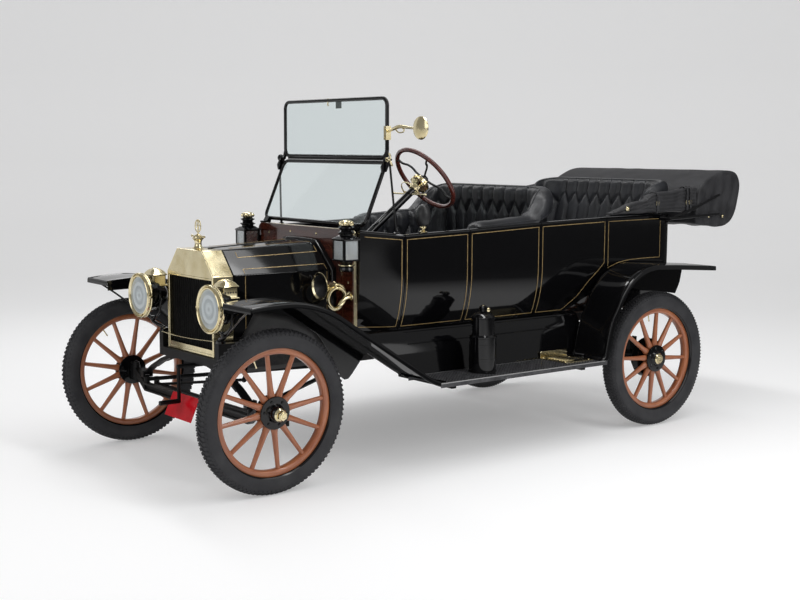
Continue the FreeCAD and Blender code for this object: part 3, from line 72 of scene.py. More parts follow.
def new_finish(name, colour, roughness, metallic=0.0, specular=0.5, coat=0.0, clear=0.0, bend=1.5):
    """A finish with one shader, ready for its own pattern nodes; clear lets light through and bends it."""
    material = bpy.data.materials.new(name)
    material.use_nodes = True
    shader = material.node_tree.nodes["Principled BSDF"]
    for socket, value in (("Base Color", (*colour, 1)), ("Roughness", roughness), ("Metallic", metallic),
                          ("Specular IOR Level", specular), ("Coat Weight", coat), ("Coat Roughness", 0.04),
                          ("Transmission Weight", clear), ("IOR", bend)):
        shader.inputs[socket].default_value = value
    return material, material.node_tree, shader


def add_node(tree, kind, **inlets):
    """A node whose inlets are set to a value or linked to an outlet; spaces in their names are written as _."""
    node = tree.nodes.new(kind)
    for name, value in inlets.items():
        inlet = node.inputs[name.replace("_", " ")]
        if isinstance(value, bpy.types.NodeSocket):
            tree.links.new(value, inlet)
        else:
            inlet.default_value = value
    return node


def add_noise(tree, scale, detail=3.0):
    """Noise in the object's own coordinates."""
    place = add_node(tree, "ShaderNodeTexCoord").outputs["Object"]
    return add_node(tree, "ShaderNodeTexNoise", Vector=place, Scale=scale, Detail=detail).outputs["Fac"]


def add_range(tree, source, low, high, target):
    """Carry a 0 to 1 value to a socket as low to high."""
    fit = add_node(tree, "ShaderNodeMapRange", Value=source, To_Min=low, To_Max=high)
    tree.links.new(fit.outputs["Result"], target)


def add_blend(tree, source, first, second, target, low=0.3, high=0.7):
    """Carry a 0 to 1 value to a colour socket as a blend of two colours."""
    ramp = add_node(tree, "ShaderNodeValToRGB", Fac=source)
    for element, position, colour in zip(ramp.color_ramp.elements, (low, high), (first, second)):
        element.position = position
        element.color = (*colour, 1)
    tree.links.new(ramp.outputs["Color"], target)


def add_bump(tree, shader, source, strength, distance):
    """Fine relief from a 0 to 1 value."""
    bump = add_node(tree, "ShaderNodeBump", Height=source, Strength=strength, Distance=distance)
    tree.links.new(bump.outputs["Normal"], shader.inputs["Normal"])


def worn(name, colour, roughness, noise, gloss=None, tones=None, relief=None, **look):
    """A finish that drifts over a noise (scale, detail): its gloss between two roughnesses, its colour between
    two tones, and a fine relief of its own (noise, strength, distance)."""
    material, tree, shader = new_finish(name, colour, roughness, **look)
    drift = add_noise(tree, *noise)
    if tones:
        add_blend(tree, drift, *tones[:2], shader.inputs["Base Color"], *tones[2:])
    if gloss:
        add_range(tree, drift, *gloss, shader.inputs["Roughness"])
    if relief:
        add_bump(tree, shader, add_noise(tree, *relief[0]), *relief[1:])
    return material


chassis_black = worn("chassis black", (0.006, 0.006, 0.0065), 0.42, (9,), (0.34, 0.52), specular=0.18)


def hang(obj, finish, body, stands_for="", sharp=38):
    """Finish a piece: its material, smooth shading up to an angle, its body and the node it stands for."""
    if obj.name not in bpy.context.scene.collection.objects:
        bpy.context.scene.collection.objects.link(obj)
    obj.data.materials.clear()
    obj.data.materials.append(finish)
    obj.data.shade_smooth()
    obj.data.set_sharp_from_angle(angle=math.radians(sharp))
    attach(obj, body)
    if stands_for:
        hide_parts(stands_for)
    return obj


def soften(obj, width, segments=2, angle=30):
    """Round the edges of a hard piece by a width in millimetres."""
    bevel = obj.modifiers.new("edges", "BEVEL")
    bevel.width = width / 1000
    bevel.segments = segments
    bevel.limit_method = "ANGLE"
    bevel.angle_limit = math.radians(angle)
    bevel.use_clamp_overlap = True
    return obj


def dress(node, finish, edge=0.0, sharp=50):
    """A smooth copy of a solid, its flats blended into one skin and its edges eased."""
    mesh = nodes[node].data.copy()
    work = bmesh.new()
    work.from_mesh(mesh)
    bmesh.ops.remove_doubles(work, verts=work.verts, dist=1e-5)
    bmesh.ops.dissolve_limit(work, angle_limit=math.radians(1), verts=work.verts, edges=work.edges)
    work.to_mesh(mesh)
    work.free()
    obj = bpy.data.objects.new(node + "_piece", mesh)
    hang(obj, finish, nodes[node]["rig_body"], node, sharp)
    if edge:
        soften(obj, edge)
    return obj


for node, edge in (("frame", 1.5), ("front_axle", 2.0), ("rear_axle", 0), ("springs", 0.6), ("knuckle_left", 1.0),
                   ("knuckle_right", 1.0), ("tie_rod", 0), ("pitman_arm", 0), ("crank", 0)):
    dress(node, chassis_black, edge)


# ---- Wheels and tyres -----------------------------------------------------------------------
# Twelve turned hickory spokes are driven into a bent felloe and clamped at the hub between pressed
# steel flanges by six bolts. A rolled steel rim is shrunk on, and the moulded tyre hooks into it.

MM = Matrix.Scale(0.001, 4)
car = Matrix.Translation((0, front_axle_y, 0)) @ MM
tyre_r = 381.0
half_track = 711.0
wheelbase = 2540.0


def build(name, groups, place=car):
    """A mesh object from (points, faces) groups in millimetres, a third entry being the finish's number."""
    work = bmesh.new()
    for group in groups:
        corners = [work.verts.new(place @ Vector(point)) for point in group[0]]
        for face in group[1]:
            work.faces.new([corners[index] for index in face]).material_index = group[2] if len(group) > 2 else 0
    bmesh.ops.recalc_face_normals(work, faces=work.faces)
    mesh = bpy.data.meshes.new(name)
    work.to_mesh(mesh)
    work.free()
    return bpy.data.objects.new(name, mesh)


def tube_faces(rows, sides, loop=False):
    """Faces between rings of points, the ends closed unless the rings make a loop."""
    faces = []
    for row in range(rows if loop else rows - 1):
        below, above = row * sides, (row + 1) % rows * sides
        for number in range(sides):
            turn = (number + 1) % sides
            faces.append((below + number, below + turn, above + turn, above + number))
    if not loop:
        faces += [tuple(range(sides)), tuple(range((rows - 1) * sides, rows * sides))]
    return faces


def turned(rows, base=(0, 0, 0), axis=(1, 0, 0), sides=32, loop=False):
    """A turned form: (along, radius) rows carried round an axis; with loop its outline closes on itself."""
    forward = Vector(axis).normalized()
    across = forward.cross(Vector((0, 1, 0) if abs(forward.z) > 0.9 else (0, 0, 1))).normalized()
    up = across.cross(forward)
    points = []
    for along, radius in rows:
        for number in range(sides):
            angle = math.tau * number / sides
            points.append(Vector(base) + forward * along
                          + (across * math.sin(angle) + up * math.cos(angle)) * max(radius, 0.02))
    return points, tube_faces(len(rows), sides, loop)


def worked(tree, operation, *values, kind="ShaderNodeMath"):
    """A value worked out from others, each a number or the outlet of another node."""
    node = tree.nodes.new(kind)
    node.operation = operation
    for inlet, value in zip(node.inputs, values):
        if isinstance(value, bpy.types.NodeSocket):
            tree.links.new(value, inlet)
        else:
            inlet.default_value = value
    return node.outputs[0]


def new_tree(name, **sizes):
    """Geometry nodes with a named input for each size, and their first and last node."""
    tree = bpy.data.node_groups.new(name, "GeometryNodeTree")
    for label, kind in (("geometry", "Geometry"), *sizes.items(), ("finish", "Material")):
        tree.interface.new_socket(label, in_out="INPUT", socket_type="NodeSocket" + kind)
    tree.interface.new_socket("geometry", in_out="OUTPUT", socket_type="NodeSocketGeometry")
    return tree, tree.nodes.new("NodeGroupInput").outputs, tree.nodes.new("NodeGroupOutput")


def set_on(tree, start, end, points, **turn):
    """Set the tree's piece on points, turned if asked, and make it one mesh with its finish."""
    copies = add_node(tree, "GeometryNodeInstanceOnPoints", Points=points, Instance=start["geometry"], **turn)
    real = add_node(tree, "GeometryNodeRealizeInstances", Geometry=copies.outputs[0])
    done = add_node(tree, "GeometryNodeSetMaterial", Geometry=real.outputs[0], Material=start["finish"])
    tree.links.new(done.outputs[0], end.inputs[0])
    return tree


def carried_round():
    """Geometry nodes that carry a piece round the x axis a number of times."""
    tree, start, end = new_tree("carried round", count="Int", first_angle="Float")
    points = add_node(tree, "GeometryNodePoints", Count=start["count"])
    index = add_node(tree, "GeometryNodeInputIndex")
    share = worked(tree, "DIVIDE", index.outputs[0], start["count"])
    angle = worked(tree, "MULTIPLY_ADD", share, math.tau, start["first_angle"])
    turn = add_node(tree, "FunctionNodeAxisAngleToRotation", Axis=(1, 0, 0), Angle=angle)
    return set_on(tree, start, end, points.outputs[0], Rotation=turn.outputs[0])


def grown(obj, tree, **sizes):
    """Run a node tree on an object and keep its result as a plain mesh."""
    bpy.context.scene.collection.objects.link(obj)
    modifier = obj.modifiers.new("tree", "NODES")
    modifier.node_group = tree
    for item in tree.interface.items_tree:
        if item.in_out == "INPUT" and item.name in sizes:
            modifier[item.identifier] = sizes[item.name]
    graph = bpy.context.evaluated_depsgraph_get()
    mesh = bpy.data.meshes.new_from_object(obj.evaluated_get(graph), depsgraph=graph)
    obj.modifiers.clear()
    obj.data = mesh
    return obj


def joined(name, objects, place=Matrix()):
    """One object from several, its mesh moved by a matrix and kept facing outwards."""
    work = bmesh.new()
    for obj in objects:
        work.from_mesh(obj.data)
        bpy.data.objects.remove(obj)
    bmesh.ops.transform(work, matrix=place, verts=work.verts)
    if place.determinant() < 0:
        bmesh.ops.reverse_faces(work, faces=work.faces)
    mesh = bpy.data.meshes.new(name)
    work.to_mesh(mesh)
    work.free()
    return bpy.data.objects.new(name, mesh)


def piece(node, groups, finish, sharp=40):
    """The piece that stands for one node and rides with its body."""
    return hang(build(node + "_piece", groups), finish, nodes[node]["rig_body"], node, sharp)


def trim(name, groups, finish, sharp=40, body="chassis"):
    """A small part that stands for no node."""
    return hang(build(name, groups), finish, body, "", sharp)


def grain_by(obj, rule):
    """Store how the wood's grain runs: rule gives (along, across, through) in metres from a point."""
    layer = obj.data.attributes.new("grain", "FLOAT_VECTOR", "POINT")
    for vertex, value in zip(obj.data.vertices, layer.data):
        value.vector = rule(vertex.co)


def wood_finish(name, pale, dark, roughness, coat):
    """Varnished wood with long fibres, rings of colour and fine pores along the stored grain."""
    material, tree, shader = new_finish(name, pale, roughness, coat=coat)
    grain = add_node(tree, "ShaderNodeAttribute")
    grain.attribute_name = "grain"
    noises = []
    for scale, detail, stretch in ((9, 4, (0.6, 5, 5)), (60, 3, (0.35, 9, 9))):
        along = add_node(tree, "ShaderNodeMapping", Vector=grain.outputs["Vector"], Scale=stretch).outputs["Vector"]
        noise = add_node(tree, "ShaderNodeTexNoise", Vector=along, Scale=scale, Detail=detail)
        noises.append(noise.outputs["Fac"])
    rings, fibres = noises
    mix = worked(tree, "MULTIPLY_ADD", rings, 0.6, worked(tree, "MULTIPLY", fibres, 0.4))
    add_blend(tree, mix, dark, pale, shader.inputs["Base Color"], 0.36, 0.62)
    add_range(tree, fibres, roughness - 0.06, roughness + 0.1, shader.inputs["Roughness"])
    add_bump(tree, shader, fibres, 0.25, 0.0006)
    return material


wheel_wood = wood_finish("hickory varnish", (0.46, 0.17, 0.075), (0.27, 0.075, 0.03), 0.32, 0.5)
enamel = worn("black enamel", (0.0025, 0.0025, 0.003), 0.07, (3.5, 2), (0.04, 0.10),
              relief=((22, 2), 0.05, 0.0008), specular=0.36, coat=0.12)
brass = worn("polished brass", (0.80, 0.70, 0.44), 0.16, (14, 4), (0.11, 0.24),
             ((0.66, 0.55, 0.30), (0.86, 0.77, 0.52), 0.25, 0.7), ((220, 2), 0.06, 0.0003), metallic=1)
rubber = worn("tyre rubber", (0.030, 0.030, 0.033), 0.62, (11, 4), (0.52, 0.74),
              ((0.021, 0.021, 0.024), (0.042, 0.042, 0.045)), ((500, 2), 0.12, 0.0003), specular=0.35)
ring_tree = carried_round()


def spoke(inner_r):
    """One spoke standing up from the hub: a flared root that meets its neighbours, and an oval shaft."""
    rows = ((40, 10, 17), (62, 15.5, 18), (76, 18.6, 18.5), (86, 16.8, 17.6), (98, 14.4, 16.4), (118, 13.2, 15.4),
            (150, 12.6, 14.6), (inner_r - 60, 11.0, 13.0), (inner_r - 14, 10.2, 12.2), (inner_r - 4, 10.8, 12.6),
            (inner_r + 6, 10.8, 12.6))
    points = []
    for height, wide, deep in rows:
        for number in range(14):
            angle = math.tau * number / 14
            points.append((deep * math.sin(angle), wide * math.cos(angle), height))
    return points, tube_faces(len(rows), 14)


def block(size, middle, twist=0.0, lean=0.0):
    """A tread block with drawn-in top, set at the top of the tyre."""
    points = []
    turn = Matrix.Rotation(twist, 3, "Z")
    tilt = Matrix.Rotation(lean, 3, "Y")
    for z, draw in ((-0.5, 1.0), (0.5, 0.78)):
        for x, y in ((-0.5, -0.5), (0.5, -0.5), (0.5, 0.5), (-0.5, 0.5)):
            foot = Vector((x * size[0] * draw, y * size[1] * draw, z * size[2]))
            points.append(Vector(middle) + tilt @ (turn @ foot))
    return points, tube_faces(2, 4)


FRONT_TREAD = (
    # size (across, round, deep), middle (across, round, radius), twist, lean
    ((27, 7.5, 7), (-7, 0, 377.2), 0.62, 0.0),
    ((27, 7.5, 7), (7, 11, 377.2), -0.62, 0.0),
    ((15, 9.5, 8), (-27, 4, 370.5), 0.25, -0.62),
    ((15, 9.5, 8), (27, 4, 370.5), -0.25, 0.62),
    ((9, 7.0, 8), (-36, -6, 358.5), 0.0, -1.05),
    ((9, 7.0, 8), (36, -6, 358.5), 0.0, 1.05),
)
REAR_TREAD = (
    ((13, 9, 6), (-6, 0, 377.6), 0.5, 0.0),
    ((13, 9, 6), (9, 8, 377.6), -0.5, 0.0),
    ((12, 8, 6), (-21, 6, 376.0), -0.5, -0.16),
    ((12, 8, 6), (23, 0, 375.4), 0.5, 0.20),
    ((12, 8, 7), (-34, 0, 369.6), 0.3, -0.52),
    ((12, 8, 7), (35, 7, 369.0), -0.3, 0.54),
    ((8, 6, 7), (-44, 3, 357.5), 0.0, -1.0),
    ((8, 6, 7), (44, 3, 357.5), 0.0, 1.0),
)
FRONT_CASING = ((-24, 300), (-33, 303), (-38, 314), (-40.6, 330), (-41, 342), (-38.6, 355), (-31, 367), (-18, 374.5),
                (0, 376.2))
REAR_CASING = ((-26, 289), (-38, 293), (-44.5, 306), (-48.4, 324), (-49, 340), (-46, 355), (-37.5, 367.5),
               (-20, 375.2), (0, 376.8))
WHEEL_TABLE = (
    # name, y, lean, casing, tread, blocks round, felloe outside, cap reach, first spoke angle
    ("front", 0.0, 3.0, FRONT_CASING, FRONT_TREAD, 100, 301.0, 97.0, 7.5),
    ("rear", wheelbase, 0.0, REAR_CASING, REAR_TREAD, 120, 290.0, 54.0, -4.5),
)

for name, y, lean, casing, tread, blocks, felloe_r, reach, first in WHEEL_TABLE:
    inner_r = felloe_r - 33
    for side, way in (("left", 1), ("right", -1)):
        node = "wheel_%s_%s" % (name, side)
        body = nodes[node]["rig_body"]
        place = car @ Matrix.Scale(way, 4, (1, 0, 0)) @ Matrix.Translation((half_track, y, tyre_r))
        place = place @ Matrix.Rotation(math.radians(lean), 4, "Y") @ Matrix.Scale(1000, 4)
        start = math.radians(first if side == "left" else first + 11)

        one = build("spoke", [spoke(inner_r)], MM)
        grain_by(one, lambda co: (co.z, co.y, co.x))
        spokes = grown(one, ring_tree, count=12, first_angle=start, finish=wheel_wood)
        section = ((-15, inner_r), (-20, inner_r + 4), (-22, inner_r + 10), (-22, felloe_r - 6), (-20, felloe_r - 4),
                   (20, felloe_r - 4), (22, felloe_r - 6), (22, inner_r + 10), (20, inner_r + 4), (15, inner_r))
        felloe = build("felloe", [turned(section, sides=120, loop=True)], MM)
        grain_by(felloe, lambda co: (math.atan2(co.y, co.z) * 0.29, co.x, math.hypot(co.y, co.z)))
        hang(joined(node + "_wood", [spokes, felloe], place), wheel_wood, body, node, 50)

        band = ((-26, felloe_r - 4), (-26, felloe_r + 1), (-31, felloe_r + 6), (-33, felloe_r + 10),
                (-35, felloe_r + 9), (-33, felloe_r + 3), (-28, felloe_r - 4))
        rim = build("rim", [turned([(a, r) for a, r in band], sides=120, loop=True),
                            turned([(-a, r) for a, r in band], sides=120, loop=True)], MM)
        if name == "front":
            nose = (reach - 36, 32.5), (reach - 34.5, 31), (reach - 32, 0)
            drum = (-20.3, 0), (-20.3, 76), (-27.2, 76), (-28.5, 60), (-34, 36), (-36, 0)
        else:
            nose = (40, 36), (41, 30), (41, 0)
            drum = (-20.3, 0), (-20.3, 106), (-23, 108), (-56, 108), (-60, 111), (-62, 108), (-62, 0)
        plate_face = ((20.3, 0), (20.3, 75), (21.5, 76.2), (25.5, 76.2), (27.2, 75), (28.2, 66), (28.6, 44),
                      (31.5, 41), (36, 39.5), *nose)
        hub = build("hub", [turned(plate_face, sides=48), turned(drum, sides=48)], MM)
        bolt = build("bolt", [turned([(26, 7.4), (31.4, 7.4), (32.6, 6.2), (32.6, 3.8), (34.6, 3.6), (35.2, 0)],
                                     (0, 0, 58), sides=6)], MM)
        bolts = grown(bolt, ring_tree, count=6, first_angle=start + 0.26, finish=enamel)
        hang(joined(node + "_hub", [rim, hub, bolts], place), enamel, body, sharp=40)

        valve_turn = start + math.radians(15)
        base = reach - 36 if name == "front" else 39
        cap = [turned([(base, 26), (base, 29.5), (base + 6, 30.5), (base + 10, 27), (base + 13, 24)], sides=32),
               turned([(base + 11, 23.5), (reach - 7, 23.5), (reach - 4.5, 21.5), (reach - 4.5, 16)], sides=6),
               turned([(reach - 8, 17), (reach - 2.5, 17), (reach - 1.2, 15.5), (reach - 0.8, 12),
                       (reach - 1.6, 9), (reach, 8), (reach, 0)], sides=32),
               turned([(0, 3.8), (16, 3.8), (17, 3.1), (34, 3.1), (35, 3.9), (41, 3.9), (42, 3.2)],
                      (-2, -math.sin(valve_turn) * inner_r, math.cos(valve_turn) * inner_r),
                      (0, math.sin(valve_turn), -math.cos(valve_turn)), 16)]
        hang(joined(node + "_cap", [build("cap", cap, MM)], place), brass, body, sharp=30)

        outline = list(casing) + [(-a, r) for a, r in reversed(casing[:-1])]
        outline = [(casing[0][0], casing[0][1] + 2)] + outline[1:-1] + [(-casing[0][0], casing[0][1] + 2)]
        carcass = build("casing", [turned(outline, sides=144, loop=True)], MM)
        lugs = grown(build("lugs", [block(*row) for row in tread], MM), ring_tree, count=blocks, first_angle=0.0,
                     finish=rubber)
        tyre_node = "tyre_%s_%s" % (name, side)
        hang(joined(tyre_node + "_piece", [carcass, lugs], place), rubber, nodes[tyre_node]["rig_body"],
             tyre_node, 45)


# ---- Radiator -------------------------------------------------------------------------------
# A brass shell folded and soldered round a core of copper tubes and thin steel fins, painted black.
# The filler neck carries a winged cap with an open ring ornament; the bare shell is polished.

rad_front_y = -22.0
rad_back_y = 88.0
rad_top = (124.0, 1069.0)
rad_shoulder = (228.0, 952.0)
rad_low_z = 563.0
core_half = 212.0
core_z = (579.0, 930.0)


def plate(outline, low, high, facing="x"):
    """A flat piece: an outline of (y, z), (x, z) or (x, y) points, from low to high across it."""
    spots = {"x": lambda a, b, c: (c, a, b), "y": lambda a, b, c: (a, c, b), "z": lambda a, b, c: (a, b, c)}[facing]
    points = [spots(a, b, low) for a, b in outline] + [spots(a, b, high) for a, b in outline]
    return points, tube_faces(2, len(outline))


def box(x, y, z):
    """A plain block from three (low, high) pairs, to be eased or carried on by other steps."""
    return plate([(y[0], z[0]), (y[1], z[0]), (y[1], z[1]), (y[0], z[1])], x[0], x[1])


def carve(obj, cutter):
    """Cut one closed form out of another."""
    for each in (obj, cutter):
        if each.name not in bpy.context.scene.collection.objects:
            bpy.context.scene.collection.objects.link(each)
    cut = obj.modifiers.new("cut", "BOOLEAN")
    cut.object = cutter
    cut.solver = "EXACT"
    graph = bpy.context.evaluated_depsgraph_get()
    mesh = bpy.data.meshes.new_from_object(obj.evaluated_get(graph), depsgraph=graph)
    obj.modifiers.clear()
    obj.data = mesh
    bpy.data.objects.remove(cutter)
    return obj


def smooth_path(corners, steps=8, loop=False):
    """A smooth curve through points."""
    places = [Vector(corner) for corner in corners]
    count = len(places)
    result = []
    for number in range(count if loop else count - 1):
        if loop:
            a, b, c, d = (places[(number + k) % count] for k in (-1, 0, 1, 2))
        else:
            b, c = places[number], places[number + 1]
            a = places[number - 1] if number else b * 2 - c
            d = places[number + 2] if number + 2 < count else c * 2 - b
        for step in range(steps):
            t = step / steps
            result.append(0.5 * (2 * b + (c - a) * t + (2 * a - 5 * b + 4 * c - d) * t * t
                                 + (3 * b - a - 3 * c + d) * t ** 3))
    if not loop:
        result.append(places[-1])
    return result


def bar(path, radius, sides=10, loop=False, flat=1.0):
    """A round or flattened bar along a path; radius may be a list with one entry for each point."""
    places = [Vector(point) for point in path]
    count = len(places)
    radii = radius if isinstance(radius, (list, tuple)) else [radius] * count
    points = []
    side = None
    for number, place in enumerate(places):
        if loop:
            along = (places[(number + 1) % count] - places[number - 1]).normalized()
        else:
            along = (places[min(number + 1, count - 1)] - places[max(number - 1, 0)]).normalized()
        if side is None:
            side = along.orthogonal() if abs(along.x) > 0.9 else along.cross(Vector((1, 0, 0)))
            side.normalize()
        side = (side - along * side.dot(along)).normalized()
        up = along.cross(side)
        for step in range(sides):
            angle = math.tau * step / sides
            points.append(place + (side * math.cos(angle) + up * math.sin(angle) * flat) * radii[number])
    return points, tube_faces(count, sides, loop)


def other_side(group):
    """The same points on the car's right."""
    return ([Vector((-point[0], point[1], point[2])) for point in group[0]],) + tuple(group[1:])


def both(*groups):
    """Each form followed by its like on the other side."""
    return [form for group in groups for form in (group, other_side(group))]


def on_side(side, *groups):
    """The forms as they are on the left, or their likes on the right."""
    return list(groups) if side == "left" else [other_side(group) for group in groups]


shell_outline = [(-rad_top[0], rad_top[1]), rad_top, rad_shoulder, (rad_shoulder[0], rad_low_z),
                 (-rad_shoulder[0], rad_low_z), (-rad_shoulder[0], rad_shoulder[1])]
shell = carve(build("shell", [plate(shell_outline, rad_front_y, rad_back_y, "y")]),
              build("opening", [box((-core_half, core_half), (rad_front_y - 9, rad_back_y + 9), core_z)]))
hang(soften(shell, 3.2, 3), brass, "chassis", "radiator_shell", 25)
shell.name = "radiator_shell_piece"

neck_y = 28.0
rim_path = [(x * 0.985, rad_front_y + 1, z - 3) for x, z in shell_outline[:4]]
seam = [bar(rim_path, 2.2, 8), other_side(bar(rim_path[1:], 2.2, 8)),
        bar([(-226, rad_front_y + 1, 941), (226, rad_front_y + 1, 941)], 1.6, 8)]
neck = turned([(-3, 36), (0, 36), (2, 31), (6, 25), (12, 20), (22, 17), (32, 17), (40, 19), (47, 24), (50, 28),
               (54, 28), (56, 25), (60, 25), (64, 22), (68, 15), (72, 9), (76, 0)], (0, neck_y, rad_top[1]),
              (0, 0, 1), 40)
wings = both(bar([(x, neck_y, rad_top[1] + 62) for x in (18, 34, 54, 60, 67)], [6, 3.6, 3.6, 6.5, 4], 14))
ring_z = rad_top[1] + 112


def in_ring(*spots):
    """Points of the ring ornament: x across and z up from its middle."""
    return [(x, neck_y, ring_z + z) for x, z in spots]


around = [math.tau * n / 40 for n in range(40)]
ring = [bar(in_ring(*((27 * math.cos(a), 30 * math.sin(a)) for a in around)), 2.8, 10, True),
        bar(in_ring((0, -42), (0, -30), (-4, -10), (-8, 10), (-3, 26)), [4, 3, 2.6, 2.6, 2.4], 10),
        bar(in_ring((0, -30), (6, -8), (10, 12), (4, 27)), [3, 2.6, 2.6, 2.4], 10),
        bar(in_ring((-27, 2), (-8, 4), (8, 4), (27, 2)), 2.2, 8)]
foot_band = plate([(-core_half - 1, core_z[0] - 1), (core_half + 1, core_z[0] - 1), (core_half + 1, core_z[0] + 20),
                   (-core_half - 1, core_z[0] + 20)], rad_front_y + 1.5, rad_front_y + 8, "y")
trim("radiator_trim", seam + [neck, foot_band] + wings + ring, brass)


def set_in_line():
    """Geometry nodes that repeat a piece at equal steps."""
    tree, start, end = new_tree("set in line", count="Int", step="Vector")
    line = add_node(tree, "GeometryNodeMeshLine", Count=start["count"], Offset=start["step"])
    line.mode = "OFFSET"
    return set_on(tree, start, end, line.outputs[0])


line_tree = set_in_line()
core_black = worn("core black", (0.006, 0.006, 0.006), 0.6, (30,), (0.45, 0.75), specular=0.2)
fin = build("fin", [box((-core_half, core_half), (-4, 70), (core_z[0] + 2, core_z[0] + 3.2))])
fins = grown(fin, line_tree, count=70, step=(0, 0, 0.005), finish=core_black)
tube = build("tube", [turned([(0, 4.2), (core_z[1] - core_z[0] - 1, 4.2)], (-198, 3, core_z[0] + 0.5), (0, 0, 1), 8)])
tubes = grown(tube, line_tree, count=19, step=(0.022, 0, 0), finish=core_black)
back = build("back", [box((-core_half, core_half), (20, 66), (core_z[0] + 0.4, core_z[1] - 0.4))])
hang(joined("radiator_core_piece", [fins, tubes, back]), core_black, "chassis", "radiator_core", 30)
rod_path = smooth_path([(-262, -40, 640), (-120, -36, 634), (60, -36, 638), (262, -40, 650)], 6)
trim("lamp_tie_rod", [bar(rod_path, 2.2, 8)], brass)


# ---- Hood -----------------------------------------------------------------------------------
# Four steel panels on three long piano hinges. The tops lift on the middle one and the sides hang from
# the tops; a rolled former at the firewall holds the rear edge. Gold lines follow each fold.

hood_front_y = 93.0
hood_rear_y = 604.0
hood_lines = {
    # each line's front (x, z) and rear (x, z)
    "ridge": ((4.3, 1071.0), (4.3, 1094.0)), "bend": ((124.0, 1069.0), (150.0, 1087.0)),
    "shoulder": ((227.0, 955.0), (285.0, 961.0)), "hang": ((228.0, 951.7), (286.0, 957.7)),
    "foot": ((228.0, 652.0), (286.0, 652.0)),
}


def hood_point(name, y, other=None, mix=0.0):
    """A point of a hood line at y, or part of the way from it to another line."""
    t = (y - hood_front_y) / (hood_rear_y - hood_front_y)
    (x0, z0), (x1, z1) = hood_lines[name]
    point = Vector((x0 + (x1 - x0) * t, y, z0 + (z1 - z0) * t))
    return point if other is None else point.lerp(hood_point(other, y), mix)


def hood_sheet(first, second, round_at=None, thick=2.2):
    """A closed sheet between hood lines, rounded where it folds."""
    rows = []
    for n in range(13):
        y = hood_front_y + (hood_rear_y - hood_front_y) * n / 12
        if round_at:
            a, b, c = hood_point(first, y), hood_point(round_at, y), hood_point(second, y)
            before, after = b + (a - b).normalized() * 16, b + (c - b).normalized() * 16
            fold = [before * (1 - t) ** 2 + b * 2 * t * (1 - t) + after * t ** 2 for t in [k / 6 for k in range(7)]]
            crown = [a.lerp(before, k / 4) for k in range(4)] + fold + [after.lerp(c, k / 5) for k in range(1, 6)]
        else:
            a, c = hood_point(first, y), hood_point(second, y)
            crown = [a.lerp(c, k / 8) for k in range(9)]
        inner = []
        for number, point in enumerate(crown):
            run = crown[min(number + 1, len(crown) - 1)] - crown[max(number - 1, 0)]
            inner.append(point - Vector((-run.z, 0, run.x)).normalized() * thick)
        rows.append(crown + inner[::-1])
    return [point for row in rows for point in row], tube_faces(len(rows), len(rows[0]))


def hood_stripe(places, out):
    """A thin gold line through points of the hood, lifted outwards."""
    points = []
    for number, place in enumerate(places):
        along = (places[min(number + 1, len(places) - 1)] - places[max(number - 1, 0)]).normalized()
        lift = out[number] if isinstance(out, list) else out
        across = along.cross(lift).normalized() * 1.5
        top = place + lift * 0.7
        points += [top - across, top + across, top + across - lift, top - across - lift]
    return points, tube_faces(len(places), 4)


y_front, y_rear = 152.0, 592.0
stations = [y_front + (y_rear - y_front) * n / 12 for n in range(13)]
flat_out, slope_out, side_out = Vector((0.02, 0, 1)), Vector((0.745, 0, 0.667)), Vector((1, 0, 0))
stripe_gold = worn("gold line", (0.42, 0.29, 0.12), 0.35, (60,), tones=((0.30, 0.20, 0.08), (0.50, 0.36, 0.16)),
                   metallic=0.3)
top_marks = (
    # between these lines, the share of the way, its ends at the cross lines, outward
    ("ridge", "bend", 0.62, (0.62, 0.75, 0.88), flat_out),
    ("bend", "shoulder", 0.34, (0.13, 0.24, 0.34), slope_out),
    ("bend", "shoulder", 0.80, (0.80, 0.90, 0.985), slope_out),
)
top_lines = [hood_stripe([hood_point(first, y, second, mix) for y in stations], out)
             for first, second, mix, _, out in top_marks]
top_lines += [hood_stripe([hood_point(first, y, second, mix) for mix in mixes], out)
              for y in (y_front, y_rear) for first, second, _, mixes, out in top_marks]
side_lines = [hood_stripe([hood_point("hang", y, "foot", 0.90) for y in stations], side_out)]
for y in (y_front, y_rear):
    side_lines.append(hood_stripe([hood_point("hang", y, "foot", m) for m in (0.02, 0.3, 0.6, 0.90)], side_out))
hood_top = hood_sheet("ridge", "shoulder", "bend")
hood_side = hood_sheet("hang", "foot")
grip = smooth_path([hood_point("hang", y, "foot", mix) + side_out * out for y, mix, out in (
    (500.0, 0.09, 2), (504.0, 0.13, 17), (533, 0.15, 22), (562.0, 0.13, 17), (566.0, 0.09, 2))], 6)
grip_feet = [turned([(0, 9), (2.5, 9), (4, 6)], hood_point("hang", y, "foot", 0.09) + side_out * 0.2, (1, 0, 0), 16)
             for y in (500.0, 566.0)]
knuckles = []
for n in range(32):
    y0 = hood_front_y + 8 + n * 15.6
    a, b = hood_point("hang", y0), hood_point("hang", y0 + 13)
    knuckles.append(bar([a + Vector((-1, 0, -1)), b + Vector((-1, 0, -1))], 3.4, 8))
for side in ("left", "right"):
    for node, forms, lines in (("hood_top_" + side, [hood_top], top_lines),
                               ("hood_side_" + side, [hood_side, *knuckles, *grip_feet, bar(grip, 4.2, 10)],
                                side_lines)):
        piece(node, on_side(side, *forms), enamel, 30)
        trim(node + "_lines", on_side(side, *lines), stripe_gold, 38, nodes[node]["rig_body"])

